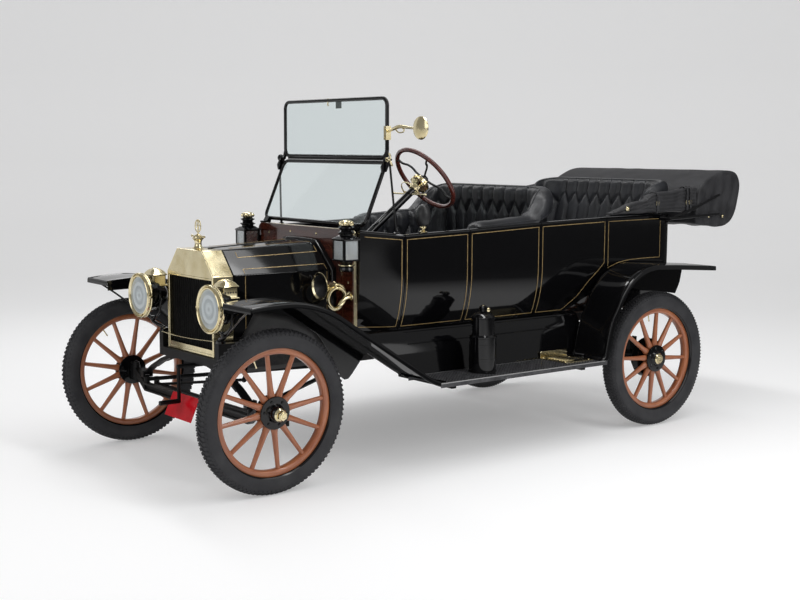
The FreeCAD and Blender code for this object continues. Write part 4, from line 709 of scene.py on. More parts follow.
former_half = [(0, 1106), (110, 1103), (146, 1098), (162, 1088), (292, 968), (298, 955), (298, 800), (298, 652)]
former_inner = [(0, 1084), (106, 1080), (136, 1074), (148, 1066), (266, 955), (272, 946), (272, 800), (272, 652)]
former_front, former_back = 611.0, 639.7
points = []
full = [(-x, z) for x, z in former_half[:0:-1]] + former_half
full_inner = [(-x, z) for x, z in former_inner[:0:-1]] + former_inner
for (x, z), (inner_x, inner_z) in zip(full, full_inner):
    for mix, y in ((0, former_back), (0, former_front + 9), (0.07, former_front + 3), (0.25, former_front),
                   (1, former_front), (1, former_back)):
        points.append((x + (inner_x - x) * mix, y, z + (inner_z - z) * mix))
ridge_pin = bar([(0, 83, 1070), (0, 620, 1093)], 4, 10)
piece("hood_former", [(points, tube_faces(len(full), 6)), ridge_pin], enamel)


# ---- Body: cowl, side panels, doors and rear tub --------------------------------------------
# Sheet steel pressed over a wooden frame: the sides tuck under at the sill, the cowl draws in to the
# firewall and the tub turns round its corners. Each panel has a rolled rail and hand-drawn gold lines.

body_x = 560.0
cowl_x = 458.0
cowl_y = 668.5
sill_z = 656.0
waist_z = 930.0
body_rear_y = 2900.0
corner_r = 140.0
seams_y = (869.0, 1291.0, 1792.0, 2299.0)
rail_line = ((cowl_y, 1160.0), (869.0, 1138.0), (1291.0, 1150.0), (1792.0, 1169.0), (2299.0, 1181.0),
             (2900.0, 1186.0))


def rail_z(y):
    """Height of the top rail at y."""
    for (y0, z0), (y1, z1) in zip(rail_line, rail_line[1:]):
        if y <= y1:
            break
    return z0 + (z1 - z0) * (y - y0) / (y1 - y0)


def tuck(z):
    """How far the side has drawn in at height z."""
    return 60 * (max(0.0, waist_z - z) / (waist_z - sill_z)) ** 2.1


def side_point(y, z, out=0.0):
    """A point on the left side of the body, moved outwards."""
    x = body_x
    if y < seams_y[0]:
        x = cowl_x + (body_x - cowl_x) * (1 - (max(0.0, seams_y[0] - y) / (seams_y[0] - cowl_y)) ** 1.3)
    return Vector((x - tuck(z) + out, y, z))


def fender_edge_z(y):
    """Height of the rear door's lower edge, which rises over the rear fender."""
    if y <= 1994:
        return sill_z
    if y <= 2120.8:
        return sill_z + (748.5 - sill_z) * (y - 1994) / 126.8
    return 560 + 377 * math.sqrt(max(0.0, 1 - ((y - 2436) / 364) ** 2))


def side_columns(y0, y1, pitch=40.0):
    """Stations along the body's straight side, which have no corner angle."""
    count = max(1, round((y1 - y0) / pitch))
    return [(y0 + (y1 - y0) * n / count, None) for n in range(count + 1)]


def skin_column(y, angle, low, high, rail):
    """One closed section of a panel: up its face, over the rolled rail and down the inside."""
    if angle is None:
        def place(z, into):
            return side_point(y, z, -into)
    else:
        def place(z, into):
            reach = corner_r - into
            return Vector((body_x - corner_r + (reach - tuck(z)) * math.cos(angle),
                           body_rear_y - corner_r + reach * math.sin(angle), z))
    steps = 9
    top = high - (12 if rail else 0)
    points = [place(low + (top - low) * n / steps, 0) for n in range(steps + 1)]
    if rail:
        points += [place(high - 12, -2.5), place(high - 7, -3.5), place(high - 2, -0.5), place(high, 6),
                   place(high, 16), place(high - 3, 22), place(high - 10, 24)]
    inside = 22 if rail else 18
    points += [place(low + (top - low) * n / steps, inside) for n in range(steps, -1, -1)]
    return points


def panel(columns, low, high=None):
    """A closed panel from stations (y, corner angle); low and high are heights or rules of y."""
    rows = []
    for y, angle in columns:
        bottom = low(y) if callable(low) else low
        top = rail_z(y) if high is None else high(y)
        rows.append(skin_column(y, angle, bottom, top, high is None))
    return [point for row in rows for point in row], tube_faces(len(rows), len(rows[0]))


def line_on_side(corners, wide=3.4):
    """A thin painted line along (y, z) corners on the left side."""
    path = []
    for (y0, z0), (y1, z1) in zip(corners, corners[1:]):
        count = max(1, int(math.hypot(y1 - y0, z1 - z0) / 30))
        path += [(y0 + (y1 - y0) * n / count, z0 + (z1 - z0) * n / count) for n in range(count)]
    path.append(corners[-1])
    places = [side_point(y, z, 0.3) for y, z in path]
    points = []
    for number, place in enumerate(places):
        along = (places[min(number + 1, len(places) - 1)] - places[max(number - 1, 0)]).normalized()
        y, z = path[number]
        out = (side_point(y, z + 4) - side_point(y, z - 4)).cross(side_point(y + 4, z) - side_point(y - 4, z))
        out = -out.normalized() if out.x > 0 else out.normalized()
        across = along.cross(out).normalized() * wide / 2
        points += [place - across, place + across, place + across - out * 0.7, place - across - out * 0.7]
    return points, tube_faces(len(places), 4)


gap = 2.0
inset = 15.0
foot_line = sill_z + 20
cowl = panel(side_columns(cowl_y, seams_y[0] - gap, 25), sill_z)
front_panel = panel(side_columns(seams_y[0] + gap, seams_y[1] - gap), sill_z)
seat_panel = panel(side_columns(seams_y[1] + gap, seams_y[2] - gap), sill_z)
door = panel(side_columns(seams_y[2] + gap, seams_y[3] - gap, 25), fender_edge_z)
corner = [(body_rear_y - corner_r, math.radians(9 * n)) for n in range(11)]
quarter = side_columns(seams_y[3] + gap, body_rear_y - corner_r) + corner[1:]
tub_rows = panel(quarter, sill_z)
mirror_rows = other_side(tub_rows)
side_count = len(tub_rows[0]) // len(quarter)
around = tub_rows[0] + [point for row in range(len(quarter) - 1, -1, -1)
                        for point in mirror_rows[0][row * side_count:(row + 1) * side_count]]
tub = (around, tube_faces(2 * len(quarter), side_count))
under_door = panel(side_columns(1999, seams_y[3] + gap, 25), sill_z, lambda y: fender_edge_z(y - 3) - 4)


def frame_line(y0, y1):
    """The closed gold line of a plain panel."""
    y0, y1 = y0 + inset, y1 - inset
    return [(y0, foot_line), (y0, rail_z(y0) - 26), (y1, rail_z(y1) - 26), (y1, foot_line), (y0, foot_line)]


cowl_line = [(cowl_y + 20, rail_z(cowl_y + 20) - 30), (seams_y[0] - inset, rail_z(seams_y[0]) - 26),
             (seams_y[0] - inset, foot_line), (cowl_y + 20, foot_line)]
door_line = [(seams_y[2] + inset, foot_line), (seams_y[2] + inset, rail_z(seams_y[2] + inset) - 26),
             (seams_y[3] - inset, rail_z(seams_y[3] - inset) - 26), (seams_y[3] - inset, 926), (2233, 880),
             (2170, 830), (2094, 745), (2002, foot_line), (seams_y[2] + inset, foot_line)]
tub_line = [(seams_y[3] + inset, 905), (seams_y[3] + inset, rail_z(2314) - 26), (2745, rail_z(2745) - 26),
            (2745, 936), (2600, 936), (2489, 933), (2400, 922), (seams_y[3] + inset, 896)]
piece("cowl_panels", [cowl, other_side(cowl), front_panel], enamel, 35)
piece("seat_panels", [seat_panel, other_side(seat_panel)], enamel, 35)
piece("rear_tub", [tub, under_door, other_side(under_door)], enamel, 35)
lines = [line_on_side(corners) for corners in (cowl_line, frame_line(seams_y[1], seams_y[2]), tub_line)]
front_line = line_on_side(frame_line(seams_y[0], seams_y[1]))
lines += [other_side(line) for line in lines] + [front_line]
trim("body_lines", lines, stripe_gold, 38)
for node, group, line in (("door_front_right", other_side(front_panel), other_side(front_line)),
                          ("door_rear_left", door, line_on_side(door_line)),
                          ("door_rear_right", other_side(door), other_side(line_on_side(door_line)))):
    piece(node, [group], enamel, 35)
    trim(node + "_lines", [line], stripe_gold, 38, nodes[node]["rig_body"])


# ---- Firewall and windshield ----------------------------------------------------------------
# The firewall is one varnished mahogany board with a brass edging. Two steel tube frames carry the panes;
# the upper folds forward on wing-nut hinges, and two stays brace the lower one to the body rail.

wall_half, wall_top, wall_corner = 440.0, 1160.0, 40.0
wall_y = (640.0, 668.0)
screen_half = 470.0
screen_bar = 20.0
screen_corner = 48.0
foot_line = Vector((0, 680, 1178))
hinge_line = Vector((0, 820, 1504))
screen_top_z = 1815.0
hinge_gap = 2.0
tube_back = 13.0


def corner_arc(x, z, radius, first, last, steps=8):
    """Points of a quarter turn in the (x, z) plane."""
    return [(x + radius * math.cos(math.radians(first + (last - first) * n / steps)),
             z + radius * math.sin(math.radians(first + (last - first) * n / steps))) for n in range(steps + 1)]


mahogany = wood_finish("mahogany", (0.085, 0.020, 0.011), (0.020, 0.005, 0.003), 0.16, 0.8)
outline = ([(wall_half, 640.3)] + corner_arc(wall_half - wall_corner, wall_top - wall_corner, wall_corner, 0, 90)
           + corner_arc(-wall_half + wall_corner, wall_top - wall_corner, wall_corner, 90, 180)
           + [(-wall_half, 640.3)])
board = build("wall_board", [plate(outline, wall_y[0], wall_y[1], "y")])
column_foot, column_top = Vector((218, 190, 585)), Vector((270, 1226, 1402))
column_way = (column_top - column_foot).normalized()
board = carve(board, build("wall_hole", [bar([column_foot, column_top], 19.6, 24)]))
grain_by(board, lambda p: (p.x, p.z, p.y))
hang(soften(board, 2.5), mahogany, "chassis", "firewall", 30)
board.name = "firewall_piece"

edging_points = []
for x, z in outline:
    way = Vector((x - math.copysign(wall_half - wall_corner, x), 0,
                  max(z - (wall_top - wall_corner), 0))).normalized()
    for y, lift in ((wall_y[0] + 4, -0.6), (wall_y[0] + 4, 1.4), (wall_y[1] - 4, 1.4), (wall_y[1] - 4, -0.6)):
        edging_points.append(Vector((x, y, z)) + way * lift)
screws = []
for side in (-1, 1):
    for z in (690, 800, 910, 1020):
        screws.append(turned([(0, 4.2), (1.2, 3.6), (1.6, 0)], (side * (wall_half + 1.2), 654, z), (side, 0, 0), 12))
    for x, z in ((side * 330, 1112), (side * 120, 1128), (side * 398, 900)):
        screws.append(turned([(0, 6.5), (1.6, 5.6), (2.4, 0)], (x, wall_y[0] - 0.2, z), (0, -1, 0), 14))
trim("firewall_edging", [(edging_points, tube_faces(len(outline), 4))] + screws, brass)


def window_ring(length, inset):
    """A line round a window, inset from its outside, x across and z up from its foot."""
    x, low, high, r = screen_half - inset, inset, length - inset, screen_corner - inset
    return (corner_arc(x - r, low + r, r, -90, 0) + corner_arc(x - r, high - r, r, 0, 90)
            + corner_arc(-x + r, high - r, r, 90, 180) + corner_arc(-x + r, low + r, r, 180, 270))


def window(length, foot, angle):
    """A window's tube frame and its pane, leaned back by an angle about its foot."""
    lean_back = Matrix.Rotation(-angle, 4, "X")
    middle = [lean_back @ Vector((x, tube_back, z)) + foot for x, z in window_ring(length, screen_bar / 2)]
    points, faces = plate(window_ring(length, screen_bar - 4), tube_back - 2.5, tube_back + 2.5, "y")
    return bar(middle, screen_bar / 2, 14, True), ([lean_back @ Vector(point) + foot for point in points], faces)


slope = hinge_line - foot_line
lower_tube, lower_pane = window(slope.length - hinge_gap, foot_line, math.atan2(slope.y, slope.z))
upper_foot = hinge_line + Vector((0, 0, hinge_gap))
upper_tube, upper_pane = window(screen_top_z - hinge_line.z - hinge_gap, upper_foot, 0.0)
glass = worn("window glass", (0.90, 0.975, 0.98), 0.02, (3,), (0.01, 0.04), specular=0.4, clear=1.0)
piece("glass_lower", [lower_pane], glass, 30)
piece("glass_upper", [upper_pane], glass, 30)

stay_foot = Vector((524, 842, rail_z(842) + 1))
fittings = [bar([(450, 820, 1504), (512, 820, 1504)], 5, 12),
            plate([(792, 1440), (786, 1468), (808, 1508), (814, 1513), (826, 1513), (831, 1506), (832, 1474),
                   (818, 1444)], 468, 478),
            bar([(497, 820, 1502), (stay_foot.x - 1, stay_foot.y, stay_foot.z + 16), stay_foot + Vector((0, 0, 6))],
                5.5, 12),
            turned([(0, 15), (4, 15), (7, 9), (9, 7), (16, 7)], stay_foot - Vector((0, 0, 1)), (0, 0, 1), 20),
            turned([(0, 9), (6, 9), (8, 6)], (492, 820, 1504), (1, 0, 0), 16),
            plate([(640, 1160.4), (684, 1160.4), (684, 1168), (692, 1187), (672, 1190), (660, 1170), (640, 1168)],
                  380, 420)]
fittings += on_side("right", *fittings)
knob_black = turned([(0, 8), (5, 17), (14, 20), (22, 16), (26, 6), (27, 0)], (-478, 820, 1504), (-1, 0, 0), 24)
wing_left = [turned([(0, 10), (6, 10), (10, 7), (16, 6), (18, 0)], (494, 820, 1504), (1, 0, 0), 20),
             bar([(504, 820, 1510), (506, 817, 1522), (508, 812, 1532), (508, 808, 1536)], [4, 6, 5, 2], 12),
             bar([(504, 820, 1498), (506, 823, 1486), (508, 828, 1476), (508, 832, 1472)], [4, 6, 5, 2], 12),
             turned([(0, 12), (3, 12), (5, 8)], (478, 820, 1504), (1, 0, 0), 20)]
piece("windshield_lower", [lower_tube, knob_black] + fittings, enamel, 38)
trim("hinge_wing", wing_left, brass)

mirror_at = Vector((744, 820, 1656))
mirror_ring = turned([(-5.4, 46), (-5.4, 50.5), (-2, 54.5), (0, 56), (6, 54), (10, 46), (14, 22), (15.6, 0), (13, 0),
                      (8, 44), (-1, 48.5), (-3, 46)], mirror_at, (0, -1, 0), 48)
mirror_glass = turned([(-3.4, 0), (-3.4, 46.5), (-2.2, 46.5), (-2.2, 0)], mirror_at, (0, -1, 0), 48)
arm = smooth_path([(466, 833, 1640), (520, 822, 1652), (580, 817, 1664), (640, 817, 1660), (694, 818, 1655)], 6)
arm_radii = [6 + 3.4 * math.sin(math.pi * n / (len(arm) - 1)) ** 2 for n in range(len(arm))]
scroll = smooth_path([(540, 820, 1654), (570, 820, 1636), (606, 820, 1638), (612, 820, 1650), (600, 820, 1656)], 6)
clamp = [plate([(818, 1600), (848, 1600), (848, 1668), (818, 1668)], 452, 472),
         *(turned([(0, 5), (4, 5), (6, 3)], (462, 819, z), (0, -1, 0), 12) for z in (1612, 1656))]
silvered = worn("silvered glass", (0.78, 0.80, 0.80), 0.06, (4,), (0.04, 0.1), metallic=1.0)
lugs = [turned([(0, 5.5), (0, 9), (15.5, 9), (15.5, 5.5), (0, 5.5)], (452.2, 820, 1504), (1, 0, 0), 20),
        plate([(819, 1512), (828, 1506), (838, 1518), (838, 1560), (830, 1562)], 452.2, 467.5)]
lugs += on_side("right", *lugs)
piece("windshield_upper", [upper_tube] + lugs, enamel, 38)
trim("mirror_mount", [mirror_ring, bar(arm, arm_radii, 12), bar(scroll, 3.4, 10)] + clamp, brass,
     body="windshield_upper")
trim("mirror_face", [mirror_glass], silvered, body="windshield_upper")
clip = [plate([(826, 1796), (838, 1796), (838, 1814.6), (826, 1814.6)], -52, -36),
        bar([(-44, 829, 1796), (-44, 826, 1786), (-44, 829, 1776)], 3.4, 8)]
trim("screen_clip", clip, brass, body="windshield_upper")
seal_rubber = worn("seal rubber", (0.02, 0.02, 0.02), 0.7, (60,), (0.6, 0.8))
seal = plate([(831.5, 1499), (834.5, 1499), (834.5, 1511), (831.5, 1511)], -436, 436)
trim("screen_seal", [seal], seal_rubber, 40, "windshield_upper")
felt_grey = worn("felt tab", (0.10, 0.11, 0.11), 0.9, (220, 5), tones=((0.07, 0.08, 0.08), (0.15, 0.165, 0.16)))
tab = plate([(24, 1762), (74, 1762), (74, 1806), (24, 1806)], 829.2, 831.0, "y")
trim("screen_tab", [tab], felt_grey, 40, "windshield_upper")


# ---- Folded top and its irons ---------------------------------------------------------------
# A rubberised cloth bag covers the folded top behind the rear seat. Its ash bows and the canvas between
# them reach forward beside the seat, strapped together. The folds are made by a height rule, not by cloth runs.

coated_cloth = worn("coated cloth", (0.020, 0.020, 0.022), 0.62, (14, 5), (0.46, 0.72),
                    ((0.013, 0.013, 0.015), (0.034, 0.034, 0.037)), ((900, 2), 0.25, 0.0004), specular=0.4)

middle = Vector((0, 3205, 1262))
around_bag = smooth_path([(0, 2988, 1135), (0, 2993, 1240), (0, 3014, 1318), (0, 3070, 1374), (0, 3180, 1420),
                          (0, 3292, 1433), (0, 3376, 1414), (0, 3422, 1362), (0, 3420, 1290), (0, 3390, 1207),
                          (0, 3330, 1135), (0, 3266, 1100), (0, 3180, 1096), (0, 3090, 1104), (0, 3022, 1114)], 6,
                         True)
bag_points = []
for n in range(121):
    share = -1 + n / 60
    edge = max(0.0, abs(share) - 0.8) / 0.2      # past 0.8 a slice belongs to the bag's end
    turning, closing = min(1, edge / 0.3), max(0, (edge - 0.3) / 0.7)
    for point in around_bag:
        out = point - middle
        angle = math.atan2(out.z, out.y)
        low = 0.5 - 0.5 * math.sin(angle)
        wave = 15 * share + 2.5 * math.sin(3 * angle) + 2 * math.cos(7 * share)
        fold = (2 + 7 * low) * (0.5 + 0.5 * math.sin(wave)) + 3 * low * math.sin(31 * share + 4 * angle)
        reach = (1 - 0.06 * (1 - math.sqrt(max(0, 1 - turning ** 2)))) * (1 - 0.97 * closing)
        spot = middle + out * (reach - max(0, fold) * (1 - closing) / 230)
        drape = 6 * math.sin(spot.y / 13 + 1.5 * math.sin(spot.z / 45))
        drape = drape * min(1, closing * 6) * min(1, (1 - closing) * 3)
        width = 595 * share / 0.8
        if edge:
            width = 595 + 23 * math.sin(turning * math.pi / 2) - 4 * closing + drape * 0.9 - 4 * min(1, closing * 6)
        width = math.copysign(width, share)
        if spot.y > 3300:
            spot.y = 3300 + (spot.y - 3300) * min(1.0, 1 - max(0, abs(width) - 560) / 60 * 0.30)
        bag_points.append((width, spot.y, spot.z))
bag = build("top_boot_piece", [(bag_points, tube_faces(121, len(around_bag)))])
hang(bag, coated_cloth, "chassis", "top_boot", 75)
snaps = [turned([(0, 9), (1.5, 9), (3, 6), (5, 5), (6, 0)], (x, y, z), (math.copysign(1, x), 0, 0), 20)
         for y, z in ((3110, 1164), (3236, 1160)) for x in (617, -617)]
trim("bag_snaps", snaps, brass)

bundle_top = smooth_path([(0, 2268, 1203), (0, 2310, 1212), (0, 2420, 1252), (0, 2552, 1272), (0, 2600, 1304),
                          (0, 2740, 1318), (0, 2880, 1330), (0, 2980, 1338)], 10)
bundle_points = []
for point in bundle_top:
    low, high = 1196.5, point.z
    pleats = max(2, round((high - low) / 20))
    for k in range(64):
        angle = math.tau * k / 64
        z = (low + high) / 2 + (high - low) / 2 * math.sin(angle)
        groove = 5 * abs(math.sin(math.pi * pleats * (z - low) / (high - low + 1) + 0.5 * math.sin(point.y / 60)))
        groove += 2.5 * math.sin(point.y / 23 + z / 12)
        gather = 5 * math.exp(-((point.y - 2905) / 22) ** 2)
        side = math.copysign(min(1, abs(math.cos(angle)) * 2.4), math.cos(angle))
        bundle_points.append((601 + side * (20 + groove - gather), point.y,
                              z - 2 * math.sin(point.y / 31) * math.sin(angle)))
bundle = bundle_points, tube_faces(len(bundle_top), 64)
folded_sides = build("folded_sides", both(bundle))
hang(folded_sides, coated_cloth, "chassis", sharp=60)
irons = [bar(smooth_path([(633.3, 2745, 1160), (633.3, 2960, 1166 + lift * 0.45), (633.3, 3180, 1175 + lift)], 6),
             7.5, 12) for lift in (0, 115)]
irons += [turned([(0, 10), (2, 12), (12, 12), (40, 12), (74, 12), (80, 9), (83, 0)], (560.5, 2745, 1160),
                 (1, 0, 0), 24)]
bows = [bar(smooth_path([(606 + 3 * n, 2300 + 40 * n, 1206 + 4 * n), (606, 2560, 1214 + 15 * n),
                         (604, 2975, 1216 + 27 * n)], 6), 7, 10, flat=1.5) for n in range(4)]
piece("top_irons", both(*irons, *bows), chassis_black)
strap_loops = []
for y, high in ((2895, 1333), (2925, 1336), (2640, 1309)):
    loop = [(572.5, y, 1197), (628.5, y, 1197), (629.5, y + 2, (1197 + high) / 2), (627, y, high), (574, y, high),
            (571.5, y + 2, 1260)]
    strap_loops.append(bar(smooth_path(loop, 4, True), 8, 8, loop=True, flat=0.25))
trim("top_straps", both(*strap_loops), coated_cloth)
buckles = [bar([(630.5, y - 9, 1240), (630.5, y + 9, 1240), (630.5, y + 9, 1262), (630.5, y - 9, 1262)], 1.6, 6,
               loop=True) for y in (2895, 2925, 2640)]
knob = turned([(0, 6), (3, 6), (5, 5), (8, 11), (14, 14), (20, 11), (23, 5), (24, 0)], (612, 2395, 1226),
              (1, 0, 0), 24)
trim("top_buckles", both(*buckles, knob), brass)


# ---- Seats ----------------------------------------------------------------------------------
# Black leather over springs and hair. The cushions are swelled by a cloth run; the backs turn into arms
# in one piece, drawn in by rows of buttons, and that quilting is a height rule since its creases are sewn.

leather = worn("black leather", (0.010, 0.011, 0.014), 0.38, (9, 5), (0.32, 0.50),
               ((0.005, 0.0055, 0.007), (0.014, 0.0155, 0.020)))
tree = leather.node_tree
place = add_node(tree, "ShaderNodeTexCoord").outputs["Object"]
pores = add_node(tree, "ShaderNodeTexVoronoi", Vector=place, Scale=420)
add_bump(tree, tree.nodes["Principled BSDF"], pores.outputs["Distance"], 0.35, 0.0005)


def eased(value, table):
    """Smooth value between the rows of a two-column table."""
    for (x0, y0), (x1, y1) in zip(table, table[1:]):
        if value <= x1:
            break
    share = min(1, max(0, (value - x0) / (x1 - x0)))
    return y0 + (y1 - y0) * share * share * (3 - 2 * share)


def quilt(along, z, high, pitch):
    """Puff from 0 at a crease to 1 between creases: pleats, then two rows of buttons, then pleats."""
    first, second = high - 92, high - 172
    step = along / pitch
    if z > first:
        gap = abs((step % 1) - 0.5)
    elif z > second:
        mix = (first - z) / (first - second)
        gap = min(abs(((step - 0.5 - 0.5 * mix) + 0.5) % 1 - 0.5), abs(((step - 0.5 + 0.5 * mix) + 0.5) % 1 - 0.5))
    else:
        gap = abs((step + 0.5) % 1 - 0.5)
    return math.sin(min(1, gap / 0.30) * math.pi / 2) ** 0.8


def quilted_back(name, half, front_y, back_y, bend, sizes, low, pitch, lean=0.0):
    """The back and both arms. sizes(share, y) gives top, roll depth, lower depth and roll's underside at a station."""
    run, stations = [], []
    for y in range(int(front_y), int(back_y - bend), 8):
        run.append((Vector((-half, y)), Vector((-1, 0))))
    for n in range(15):
        turn = math.pi / 2 * n / 14
        way = Vector((-math.cos(turn), math.sin(turn)))
        run.append((Vector((-half + bend, back_y - bend)) + way * bend, way))
    flat = 2 * (half - bend)
    for n in range(1, round(flat / 8)):
        run.append((Vector((-half + bend + 8 * n, back_y)), Vector((0, 1))))
    run = run + [(Vector((-place.x, place.y)), Vector((-way.x, way.y))) for place, way in run[::-1] if place.x <
                 -half + bend + 1]
    along, last, points, rows = 0, run[0][0], [], []
    total = sum((b[0] - a[0]).length for a, b in zip(run, run[1:]))
    for place, way in run:
        along += (place - last).length
        last = place
        high, deep, lower, under = sizes(way.y, place.y)
        soft = eased(place.y, ((front_y, 0.25), (front_y + 110, 1)))
        row = []
        face = [low] + [1000 + (high - 1052) * k / 42 for k in range(43)]
        for z in face:
            row.append((22 + lean * way.y * max(0, z - 1010), z, 1.0))
        depth0 = row[-1][0]
        for k in range(1, 13):
            turn = math.pi * k / 13
            row.append((depth0 + (deep - depth0 - 4) * (0.5 - 0.5 * math.cos(turn)), high - 52
                        + 48 * math.sin(turn), max(0, math.cos(turn))))
        row += [(deep - 2, high - 70, 0), (deep - 6, under + 3, 0), (lower + 2, under, 0), (lower, under - 12, 0),
                (lower, low, 0)]
        shut = 1 - math.sqrt(max(0, 1 - max(0, 1 - (place.y - front_y) / 40) ** 2))
        rows.append([])
        for depth, z, puffed in row:
            puff = quilt(along - total / 2, z, high, pitch) * 20 * puffed * soft if z > 990 else 12
            rise = puff * 0.25 * (1 if z > high - 52 else 0)
            depth -= puff * (0.9 if puffed else 0)
            spot = place + way * (depth + (deep / 2 - depth) * 0.6 * shut)
            rows[-1].append((spot.x, spot.y, z + rise - 4 - max(0, z - high + 52) * 0.5 * shut))
    piping = [bar([row[k] for row in rows], 3.4, 8) for k in (47, 57)]
    return build(name, [([point for row in rows for point in row], tube_faces(len(run), len(rows[0])))] + piping)


def front_sizes(turned_back, y):
    """The front seat's back and arms."""
    arm_top = eased(y, ((1345, 1182), (1420, 1192), (1720, 1208), (1860, 1300), (1885, 1325)))
    high = arm_top + (1362 - arm_top) * turned_back ** 0.7
    under = eased(y, ((1345, rail_z(1345) + 9), (1780, rail_z(1780) + 12), (1885, 1215)))
    return high, 132 - 22 * turned_back, 84, max(under, under + (1240 - under) * turned_back)


def rear_sizes(turned_back, y):
    """The rear seat's back and arms."""
    arm_top = eased(y, ((2376, 1188), (2480, 1196), (2640, 1225), (2755, 1330)))
    high = arm_top + (1386 - arm_top) * turned_back ** 0.7
    return high, 58 + 140 * turned_back ** 1.5, 58 + 66 * turned_back, max(1192, high - 90)


front_back = quilted_back("front_back", 430, 1345, 1886, 70, front_sizes, 856, 92)
rear_back = quilted_back("rear_back", 431, 2378, 2757, 60, rear_sizes, 856, 92, 0.27)
for obj, node in ((front_back, "front_seat"), (rear_back, "rear_seat")):
    hang(obj, leather, "chassis", sharp=70)


def seat_cushion(name, node, x, y):
    """A sprung cushion: a block swelled by air pressure, then its pleats drawn in."""
    work = bmesh.new()
    bmesh.ops.create_cube(work, size=1)
    bmesh.ops.scale(work, verts=work.verts, vec=Vector((2 * x - 34, y[1] - y[0] - 34, 124)))
    bmesh.ops.translate(work, verts=work.verts, vec=Vector((0, (y[0] + y[1]) / 2, 928)))
    bmesh.ops.transform(work, matrix=car, verts=work.verts)
    mesh = bpy.data.meshes.new(name)
    work.to_mesh(mesh)
    work.free()
    obj = bpy.data.objects.new(name, mesh)
    bpy.context.scene.collection.objects.link(obj)
    remesh = obj.modifiers.new("remesh", "REMESH")
    remesh.voxel_size = 0.010
    bpy.context.view_layer.update()
    obj.data = bpy.data.meshes.new_from_object(obj.evaluated_get(bpy.context.evaluated_depsgraph_get()))
    obj.modifiers.clear()
    start = [v.co.copy() for v in obj.data.vertices]
    cloth = obj.modifiers.new("swell", "CLOTH")
    cloth.settings.use_pressure = True
    cloth.settings.uniform_pressure_force = 4
    cloth.settings.effector_weights.gravity = 0
    for number in range(1, 21):
        bpy.context.scene.frame_set(number)
    swelled = obj.evaluated_get(bpy.context.evaluated_depsgraph_get())
    ends = [v.co.copy() for v in swelled.data.vertices]
    obj.modifiers.clear()
    for vert, first, end in zip(obj.data.vertices, start, ends):
        move = end - first
        vert.co = first + move * min(1, 0.016 / max(move.length, 1e-6))
    bpy.context.scene.frame_set(1)
    for vert in obj.data.vertices:
        place = vert.co
        if place.z > 0.96:
            gap = abs((place.x / 0.092 + 0.5) % 1 - 0.5)
            place.z -= 0.009 * (1 - math.sin(min(1, gap / 0.25) * math.pi / 2))
    hang(obj, leather, "chassis", node, 80)
    smooth = obj.modifiers.new("smooth", "SUBSURF")
    smooth.levels = smooth.render_levels = 1
    return obj


seat_cushion("front_seat_piece", "front_seat", 424, (1385, 1885))
seat_cushion("rear_seat_piece", "rear_seat", 420, (2397, 2744))


# ---- Steering column and wheel --------------------------------------------------------------
# A bent-wood rim on a forged four-armed spider. The gear case below it is polished brass, with the spark
# and throttle levers on their notched quadrant, at the head of a black tube.

side_axis = column_way.cross(Vector((0, 0, 1))).normalized()
up_axis = side_axis.cross(column_way).normalized()
column_tube = [bar([column_foot, column_top - column_way * 74], 18.6, 28), box((218, 300), (200, 240), (590, 616))]
piece("steering_column", column_tube, enamel)


def on_column(below):
    """A place on the column's axis, below its head."""
    return column_top - column_way * below


case = [turned([(-30, 19), (-28, 26), (-8, 26), (0, 30), (2, 36), (10, 43), (13, 51), (21, 51.5), (23, 46),
                (30, 46), (32, 51.5), (40, 51.5), (43, 47), (51, 37), (52, 10)], on_column(70), column_way, 40)]
levers = []
for n in range(6):
    out = side_axis * math.cos(math.tau * n / 6) + up_axis * math.sin(math.tau * n / 6)
    case.append(turned([(11, 6), (12, 7), (20, 7), (43, 7), (46, 6), (47, 0)], on_column(72) + out * 44,
                       column_way, 12))
for side in (-1, 1):
    grip = on_column(128) + side_axis * side * 144
    levers.append(bar([on_column(128), grip], 4.2, 10))
    case.append(turned([(-9, 0), (-7, 5), (0, 7), (6, 5), (7, 0)], grip, side_axis * side, 16))
quadrant = [on_column(112) + side_axis * 66 * math.cos(a / 10) + up_axis * 66 * math.sin(a / 10)
            for a in range(-3, 35)]
levers.append(bar(quadrant, 4, 8, flat=0.5))
levers.append(bar([on_column(112) + side_axis * 64, on_column(112) - side_axis * 64], 3.5, 8))
trim("steering_case", case, brass)
trim("steering_levers", levers, brass)

rim_wood = wood_finish("rim wood", (0.13, 0.022, 0.014), (0.050, 0.010, 0.008), 0.24, 0.55)
rim_rows = [(12 * math.sin(math.tau * n / 14), 190 + 12.5 * math.cos(math.tau * n / 14)) for n in range(14)]
rim = build("steering_rim", [turned(rim_rows, column_top, column_way, 72, True)])
hang(rim, rim_wood, "steering_wheel", sharp=70)
wheel_middle = car @ column_top
grain_by(rim, lambda p: (
    math.atan2((p - wheel_middle).dot(up_axis), (p - wheel_middle).dot(side_axis)) * 0.19, p.y, p.z))
spider = [turned([(0, 29), (3, 30), (14, 27), (18, 20), (24, 17), (25, 8), (26, 0)], on_column(17),
                 column_way, 32)]
for n in range(4):
    turn = math.radians(45 + 90 * n)
    out = side_axis * math.cos(turn) + up_axis * math.sin(turn)
    way = smooth_path([column_top + out * r + column_way * a for r, a in
                       ((16, -5), (55, -2), (90, 6), (120, 5), (150, -6), (186, -3))], 5)
    spider.append(bar(way, 6.5, 10, flat=0.8))
piece("steering_wheel", spider, enamel)


# ---- Fenders, splash aprons and running boards ----------------------------------------------
# Fenders are rolled from sheet with a wired edge, a turned-down lip outside and a splash wall inside.
# The boards are pressed steel with a raised pattern of small diamonds, screwed to forged brackets.

